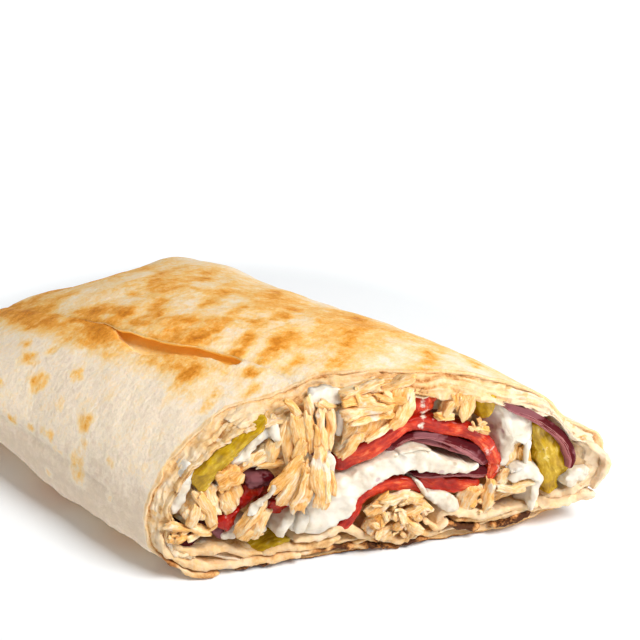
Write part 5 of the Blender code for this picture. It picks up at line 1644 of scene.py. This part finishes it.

# %% [markdown]
# ## Chicken
#
# Fried chicken breast tears along its fibres: into chunks with flat torn sides, thin leaves, and
# shreds that hang out of the cut. It is pale cream inside and golden where it was fried, and painted
# shade makes its cracks orange brown. Smooth lumps would look like dough, so each splinter has a few
# flat sides, grooves along it and ragged ends, and painted shade darkens its grooves by a mark of how
# hollow each point sits.

# %% Chicken pieces
CHICKEN = {
    "chicken_left_upper": [
        chunk(-23.6, 24.2, -0.8, (5.6, 3.4, 3.2), turn=25, roll=15, seed=1),
        chunk(-20.8, 25.4, -0.2, (4.6, 3.2, 3), turn=75, roll=-20, seed=2),
        chunk(-25.4, 23.9, 0, (4.2, 1.6, 1.6), turn=38, seed=3),
        chunk(-21.4, 23.2, 0.4, (4.6, 1.5, 1.8), turn=8, seed=4),
        chunk(-21, 31.6, -0.6, (3.2, 2.6, 2), turn=70, seed=120)],
    "chicken_left_outer": [
        patch([(-37.9, 14.7), (-35.8, 17.8), (-33.9, 19.4), (-31.7, 20.5), (-31.1, 16.1), (-30.5, 14),
            (-32.7, 13.1), (-35.2, 12.7), (-37.6, 12.7)], ahead=0.6, lean=(0.05, -0.06), lump=0.14,
            grain=105, creased=0.5, ragged=0.1, jag=0.4, seed=5),
        torn([(-32.6, 12.6, 2.6, 1.4), (-33.4, 15.6, 3, 1.8), (-35, 19.2, 1.8, 1)], seed=6),
        torn([(-36.8, 12.2, 2.6, 1.2), (-36.2, 14.6, 2.8, 1.6), (-35.6, 17.4, 1.8, 1.2)], thick=1.4,
            seed=7)],
    "chicken_left_pale": [
        patch([(-31.7, 22.9), (-30.5, 23.9), (-27.7, 23.9), (-26.5, 22), (-27, 20.2), (-28.6, 20),
            (-30.7, 18.3), (-31.5, 20)], ahead=1.4, dome=0.3, lean=(-0.1, 0.16), lump=0.12, grain=30,
            creased=0.35, ragged=0.14, jag=0.4, depth=0.4, seed=8),
        patch([(-30.6, 17.8), (-28.5, 19.5), (-26.9, 19.2), (-27.4, 16.9), (-29, 14.1), (-30.5, 14),
            (-31.1, 16.1)], ahead=0.8, dome=0.4, lean=(0.05, -0.1), lump=0.14, grain=100, creased=0.4,
            ragged=0.12, jag=0.4, seed=9)],
    "chicken_corner": [
        chunk(-38.6, 12, 0.6, (4.2, 1.8, 1.5), turn=-18, seed=10),
        chunk(-35.4, 11.2, 0.9, (5, 1.6, 1.5), turn=-26, seed=11),
        chunk(-33, 10.8, 0.7, (3.2, 1.8, 1.3), turn=30, seed=12),
        *crumbs(-38.6, 10.2, spread=(2.6, 1.6), count=10, size=1.5, seed=1)],
    "chicken_coated": [
        torn([(-28.2, 9.2, 2.6, 1.6), (-26.8, 12, 3.4, 2.2), (-24.2, 15.6, 2.6, 2.4)], thick=2, seed=13),
        torn([(-25.4, 8.6, 2.6, 1.8), (-24.6, 11.2, 3, 2.4), (-22.8, 14.8, 2.4, 2.2)], thick=1.8,
            roll=-15, seed=14),
        torn([(-27.6, 8.4, 2, 2.4), (-25.8, 9.6, 2.4, 2.8), (-23.6, 9.6, 1.8, 2.4)], thick=1.3, seed=15),
        torn([(-26.8, 11.6, 1.4, 3.2), (-25.2, 13.8, 1.6, 3.4), (-23.2, 16.4, 1.2, 3.2)], thick=1.1,
            seed=16)],
    "chicken_shred_top": [
        torn([(-17, 33.4, 2.6, 1.2), (-16.4, 30, 3.2, 1.8), (-16.2, 25.8, 2.6, 2.2)], thick=2, roll=18,
            seed=17),
        torn([(-14.9, 33.9, 1.6, 2), (-14.6, 30.4, 2, 2.6), (-14.4, 26.8, 1.7, 2.6)], thick=1.7,
            roll=-12, seed=18),
        torn([(-13, 34.2, 1.7, 2.2), (-12.8, 30.6, 1.9, 2.9), (-12.6, 27.2, 1.8, 3)], thick=1.8, roll=10,
            seed=19),
        torn([(-11.4, 34, 1.5, 2), (-11, 30.8, 1.9, 2.6), (-11.2, 27, 1.4, 2.6)], thick=1.7, roll=-16,
            seed=20),
        torn([(-13.7, 31.6, 1, 3.2), (-13.8, 29.2, 1.2, 3.6), (-13.4, 26.4, 1, 3.6)], thick=1, seed=21),
        chunk(-16.6, 27, 2.8, (3.6, 2.4, 1.6), turn=75, dip=15, seed=22),
        chunk(-17.4, 34.4, 1, (4.2, 1.8, 1.6), turn=-60, seed=23),
        chunk(-14.6, 34.8, 1.4, (3.6, 2, 1.5), turn=-75, seed=24),
        chunk(-11.6, 34.8, 1.2, (3, 2, 1.4), turn=-30, seed=25)],
    "chicken_shred_left": [
        torn([(-17.8, 32.6, 1.6, 0.6), (-18, 29.2, 2.2, 1), (-18.4, 25.6, 2.4, 1.6),
            (-18.4, 22, 1.6, 2)], thick=1.7, roll=20, seed=26),
        chunk(-19.5, 29.2, 0.2, (5.6, 1.4, 1.6), turn=82, seed=27)],
    "chicken_shred_middle": [
        torn([(-13.4, 27.6, 2.4, 3.6), (-13.4, 23.4, 2.9, 4.6), (-13.3, 19, 3.2, 5.2),
            (-13.8, 15.6, 3, 5.2)], thick=1.5, roll=4, seed=28),
        torn([(-12.4, 25, 1, 4.8), (-12.2, 20.4, 1.3, 5.6), (-12.4, 16.4, 1.2, 5.8)], thick=0.9, roll=14,
            seed=29)],
    "chicken_shred_fan": [
        torn([(-15.8, 25.4, 1.9, 2.8), (-18.6, 22.4, 2.8, 3.4), (-22.4, 19, 2.4, 3.8)], thick=1.4,
            roll=10, seed=31),
        torn([(-15.8, 24.6, 2.2, 3.4), (-17.8, 20.4, 3.4, 4), (-20.6, 16.2, 2.8, 3.8)], thick=1.4,
            roll=-10, seed=32),
        torn([(-15.2, 24.2, 2.2, 4), (-16.4, 19.6, 3.4, 4.8), (-17.6, 14.4, 2.9, 4.4)], thick=1.5,
            roll=6, seed=33),
        torn([(-15.8, 23, 1.2, 4.8), (-16.8, 19.6, 1.5, 5.4), (-18.6, 16.4, 1.1, 5.2)], thick=1, roll=-8,
            seed=34),
        torn([(-12.2, 22.4, 1.8, 2.8), (-11.6, 19.4, 2.4, 3.4), (-11, 16.4, 2, 3)], thick=1.4, roll=12,
            seed=35)],
    "chicken_top_layer": [
        chunk(-5.2, 37, 0.6, (7.4, 2, 5), turn=14, roll=-18, seed=37),
        chunk(-5.2, 35.4, 1.4, (7, 1.8, 5), turn=-4, roll=12, seed=38),
        chunk(-4.2, 33.7, 2.2, (8.8, 1.8, 5), turn=6, roll=-8, seed=39),
        chunk(-3.8, 32.1, 2.6, (7.4, 1.6, 4), turn=3, roll=14, seed=40),
        chunk(-0.4, 35.2, 1.8, (6, 1.8, 4), turn=-14, roll=-10, seed=41),
        chunk(1.6, 37, 0.8, (6, 1.5, 3.4), turn=14, seed=42),
        chunk(-1.2, 33.6, 2.6, (3.6, 2.2, 2.6), turn=-35, seed=43),
        *crumbs(-3, 36, spread=(4, 1.4), count=7, size=1.5, ahead=(1.4, 2.6), seed=6)],
    "chicken_top_block": [
        patch([(-0.2, 36), (2.8, 36.8), (4.9, 34), (4.5, 30.6), (2.4, 28.4), (-1.6, 27.2), (-2, 29),
            (-0.6, 32.2)], ahead=1.4, dome=1, lean=(-0.05, 0.1), lump=0.12, grain=65, creased=0.4,
            ragged=0.05, seed=44),
        torn([(0.6, 29.2, 2.2, 2.4), (2.2, 31.6, 2.6, 2.8), (2.8, 34.6, 1.8, 2.2)], roll=20, seed=45)],
    "chicken_flat": [
        patch([(-7.9, 31.4), (-3.2, 31.8), (-0.4, 31), (-0.6, 29.2), (-3, 27.6), (-6.2, 25.8),
            (-8.9, 23), (-9.9, 23.4), (-8.8, 27.4)], ahead=1.8, dome=0.8, lean=(0, 0.12), lump=0.12,
            grain=50, creased=0.4, ragged=0.05, seed=46),
        torn([(-9.2, 23.6, 1.4, 2.4), (-7.6, 26, 1.9, 2.8), (-5.8, 28.4, 1.5, 2.8)], thick=1.3, seed=47),
        torn([(-4.6, 27.2, 1.6, 2.6), (-2.4, 28.6, 2.2, 2.8), (0, 29.8, 1.6, 2.4)], thick=1.5, roll=20,
            seed=48)],
    "chicken_lower_upper": [
        chunk(-1.6, 11, 1, (4.6, 2.4, 2.6), turn=35, roll=10, seed=49),
        chunk(1.6, 12.2, 1.4, (5, 2, 2.6), turn=8, roll=-15, seed=50),
        chunk(4.8, 11.8, 1.4, (4.8, 2.2, 2.6), turn=-14, roll=15, seed=51),
        chunk(6.8, 10, 1.2, (3.6, 2.4, 2.2), turn=-50, seed=52),
        *crumbs(2.4, 11.4, spread=(4.6, 1.2), count=9, size=1.5, ahead=(1.6, 2.6), seed=2)],
    "chicken_lower": [
        chunk(-1.6, 7.6, 0.8, (5.2, 3.4, 3.4), turn=60, roll=20, seed=53),
        chunk(1.8, 8.2, 1, (4.4, 3, 3), turn=-20, roll=-10, seed=54),
        chunk(4.4, 6.4, 1.2, (6.4, 3.4, 3.2), turn=-48, roll=25, seed=55),
        chunk(1, 5, 1, (5, 2.6, 2.8), turn=18, roll=-20, seed=56),
        chunk(5.6, 8.8, 1.4, (3.6, 2.4, 2.4), turn=25, seed=57),
        *crumbs(1.6, 7.2, spread=(4.8, 3.6), count=20, size=1.7, ahead=(1.4, 3), seed=3)],
    "chicken_lower_right": [
        chunk(17.2, 8.8, 0, (4.8, 4.2, 3), turn=70, roll=10, seed=58),
        chunk(20.4, 9.8, 0.6, (5.6, 2.6, 2.4), turn=80, roll=-20, seed=59),
        *crumbs(19.6, 7.2, spread=(2.4, 1.2), count=7, size=1.4, seed=4)],
    "chicken_right_upper": [
        chunk(11.6, 30.4, 0.4, (3.8, 2.6, 2.6), turn=60, roll=15, seed=60),
        chunk(12.8, 32, 0.8, (3.4, 1.8, 2), turn=100, seed=61),
        chunk(11, 28.8, 0.6, (2.8, 1.8, 1.8), turn=-10, seed=62)],
    "chicken_right_block": [
        chunk(15.1, 30.2, 0.6, (5, 3.6, 3.2), turn=85, roll=10, seed=63),
        chunk(13.4, 31.6, 1, (3.4, 1.7, 1.6), turn=70, roll=-25, seed=64),
        *crumbs(17.4, 26.2, spread=(2, 0.9), count=9, size=1.2, ahead=(1.6, 2.4), seed=5)],
    "chicken_right": [
        chunk(24.6, 17.8, -1.2, (6.4, 3.8, 3), turn=75, roll=15, seed=65),
        chunk(27.2, 16.4, -0.6, (5.4, 2.6, 2.4), turn=100, roll=-15, seed=66),
        chunk(23.2, 13, 0.4, (4, 2.4, 2.4), turn=60, seed=67)],
    "chicken_right_lower": [
        chunk(24.2, 11.2, 0.8, (5.4, 2.2, 2.6), turn=-8, roll=10, seed=68),
        chunk(26.6, 11.6, 1.2, (4.6, 1.8, 2), turn=4, roll=-18, seed=69),
        chunk(25.2, 8.6, -1.2, (6.4, 2.6, 2.4), turn=10, seed=70)],
}
print("chicken pieces:", len(CHICKEN))

# %% Chicken material


def chicken_look():
    """Cream to golden meat with stripes along its fibres, and painted shade, orange brown, in its
    hollows and behind the cut.
    """
    look, tree, shader, place = new_look(
        "torn_chicken", subsurface_weight=0.15, subsurface_scale=0.0015,
        subsurface_radius=(1.0, 0.55, 0.25), specular_ior_level=0.3)
    stripes = strands(tree, (0.14, 1.0, 0.5), 2.2, 4.0)
    threads = strands(tree, (0.14, 1.0, 0.5), 6.5)
    shade = plus(tree, times(tree, stripes, 0.3), mottle(tree, place, 190.0, 4.0), 0.4)
    shade = plus(tree, shade, threads, 0.34, 0.5)
    shade = math(tree, "ADD", plus(tree, shade, mark(tree, "tone"), 0.3), 0.3)
    # painted shade: darker and more orange in the hollows and grooves, and where a piece sits behind the
    # cut
    shade = plus(tree, shade, mark(tree, "hollow"), -0.45)
    shade = plus(tree, shade, mark(tree, "deep"), -0.45)
    colour = ramp(tree, shade, [(0.0, (0.54, 0.18, 0.02)), (0.22, (0.76, 0.34, 0.055)),
                                (0.48, (0.9, 0.49, 0.165)), (0.74, (0.93, 0.63, 0.32)),
                                (1.0, (0.94, 0.79, 0.57))])
    link(tree, shader, base_color=sauced(tree, place, colour, 0.06, 0.8),
         roughness=between(tree, stripes, 0.0, 1.0, 0.34, 0.52),
         normal=relief(tree, place, 900.0, 0.6, times(tree, stripes, 0.9)))
    return look


make_pieces(CHICKEN, chicken_look(), "_torn")

# %% [markdown]
# ## What lies behind
#
# Between the pieces one looks into shaded chopped filling a few millimetres behind the cut. It
# could be hundreds of crumbs, but nobody sees more than their shade. So it is one lumpy body
# over the whole room inside the bread, and it runs back through the roll.

# %% Chopped filling
CORE_COLUMNS = 150
CORE_SHARES = np.concatenate([np.linspace(0.03, 0.97, 44), [0.985, 1.0, 1.0, 1.0, 1.0]])
CORE_BEHIND, CORE_END = 6.2, 42.0
CORE_DEPTH, CORE_LEVEL = 4.4, 16.0


def chopped_core(look):
    """Lumpy face behind the cut, from its middle out to the bread, then a smooth tube to the end."""
    angle = np.linspace(0.0, 360.0, CORE_COLUMNS, endpoint=False)[None, :]
    rim = lay(angle, 0.0, CORE_DEPTH, CORE_BEHIND)
    flat_middle = in_cut(0.0, CORE_LEVEL, 0.0) + BACK * CORE_BEHIND
    share = CORE_SHARES[:, None, None]
    grid = flat_middle + (rim - flat_middle) * share
    lumps = 1.9 * rough(grid, 6.0, 4, 77)
    grid = grid + BACK * lumps[..., None] * np.where(share < 0.98, 1.0, 0.2)
    for row, way in zip((-4, -3, -2, -1), (0.02, 0.3, 0.65, 1.0)):
        grid[row] = lay(angle, way, CORE_DEPTH, CORE_BEHIND, back=CORE_END)[0]
    # painted shade: the further back a lump lies, the darker it is coloured
    hollow = held(0.5 + 0.3 * lumps)
    skin = tube(grid, along=grid[..., 0], across=grid[..., 2], front=-lumps, hollow=hollow)
    make_piece("filling_behind", [skin], look, ["chopped_filling"])


def core_look():
    """Chicken and sauce mashed together, with painted shade where its lumps lie further back and a faint
    painted glow.
    """
    look, tree, shader, place = new_look("chopped_filling", roughness=0.5, subsurface_weight=0.1,
                                         subsurface_scale=0.002, emission_strength=0.1)
    shade = math(tree, "ADD", mottle(tree, place, 260.0, 5.0), 0.25)
    # painted shade from the mark of how far back each lump lies
    shade = plus(tree, shade, mark(tree, "hollow"), -0.55)
    colour = ramp(tree, shade, [(0.0, (0.34, 0.11, 0.02)), (0.35, (0.62, 0.3, 0.08)),
                                (0.7, (0.82, 0.55, 0.25)), (1.0, (0.9, 0.76, 0.54))])
    # painted light: the filling glows faintly in its own colour
    link(tree, shader, base_color=colour, emission_color=colour,
         normal=relief(tree, place, 700.0, 0.5))
    return look


chopped_core(core_look())

# %% [markdown]
# ## Floor, light and camera
#
# The photograph is a bright studio picture on white. A large soft light stands high in front of
# the cut, a weak one low on the far left, and white is all around, so that shadows stay soft.
# The table shines a little by itself, less near the wrap. The camera looks down at 29 degrees
# with a moderately long lens, from the left front.

# %% Lights
WARM_WHITE = (1.0, 0.99, 0.97)


def area_light(name, place, aim, size, power):
    """Square soft light at a place, turned to a point."""
    data = bpy.data.lights.new(name, "AREA")
    data.shape, data.size, data.energy, data.color = "SQUARE", size, power, WARM_WHITE
    item = bpy.data.objects.new(name, data)
    item.location = place
    item.rotation_euler = (Vector(aim) - Vector(place)).to_track_quat("-Z", "Y").to_euler()
    into_scene(item)


world = bpy.data.worlds.new("studio")
world.use_nodes = True
world.node_tree.nodes["Background"].inputs["Color"].default_value = (1.0, 1.0, 1.0, 1.0)
world.node_tree.nodes["Background"].inputs["Strength"].default_value = 0.19
bpy.context.scene.world = world
area_light("key", (0.05, -0.42, 0.52), (0.0, -0.02, 0.01), 0.28, 5.1)
area_light("fill", (-0.5, 0.36, 0.16), (0.0, -0.02, 0.02), 0.4, 0.42)

print("lights:", [light.name for light in bpy.data.lights])

# %% Floor
FLOOR_REACH, FLOOR_LEVEL = 3.0, -0.0002
floor_mesh = bpy.data.meshes.new("floor")
corners = [(x * FLOOR_REACH, y * FLOOR_REACH, FLOOR_LEVEL)
           for x, y in ((-1, -1), (1, -1), (1, 1), (-1, 1))]
floor_mesh.from_pydata(corners, [], [(0, 1, 2, 3)])
floor = bpy.data.objects.new("floor", floor_mesh)
into_scene(floor)
floor_look, floor_tree, floor_shader, place = new_look(
    "white_table", base_color=(0.9, 0.93, 0.96, 1.0), roughness=0.8, emission_strength=1.1)
away = add(floor_tree, "VectorMath", {0: place}, operation="LENGTH").outputs["Value"]
paler = between(floor_tree, away, 0.08, 0.13, 0.045, 1.0)
shine = blend(floor_tree, paler, (0.0, 0.0, 0.0), (1.0, 1.0, 1.0))
link(floor_tree, floor_shader, emission_color=shine)
floor_mesh.materials.append(floor_look)

# %% Camera
CAMERA_ELEVATION, CAMERA_TURN = np.radians(29.0), np.radians(47.0)
CAMERA_AIM = np.array([0.0575, 0.023, 0.0])
CAMERA_DISTANCE, CAMERA_LENS, SENSOR_WIDTH = 0.3468, 78.75, 36.0
lens = bpy.data.cameras.new("photo_camera")
lens.lens, lens.sensor_width = CAMERA_LENS, SENSOR_WIDTH
camera = bpy.data.objects.new("photo_camera", lens)
looking = np.array([np.cos(CAMERA_ELEVATION) * np.sin(CAMERA_TURN),
                    np.cos(CAMERA_ELEVATION) * np.cos(CAMERA_TURN), -np.sin(CAMERA_ELEVATION)])
camera.location = Vector(CAMERA_AIM - CAMERA_DISTANCE * looking)
camera.rotation_euler = Vector(looking).to_track_quat("-Z", "Y").to_euler()
into_scene(camera)
bpy.context.scene.camera = camera
bpy.context.scene.view_settings.view_transform = "Standard"
print("camera at", [round(v, 3) for v in camera.location])
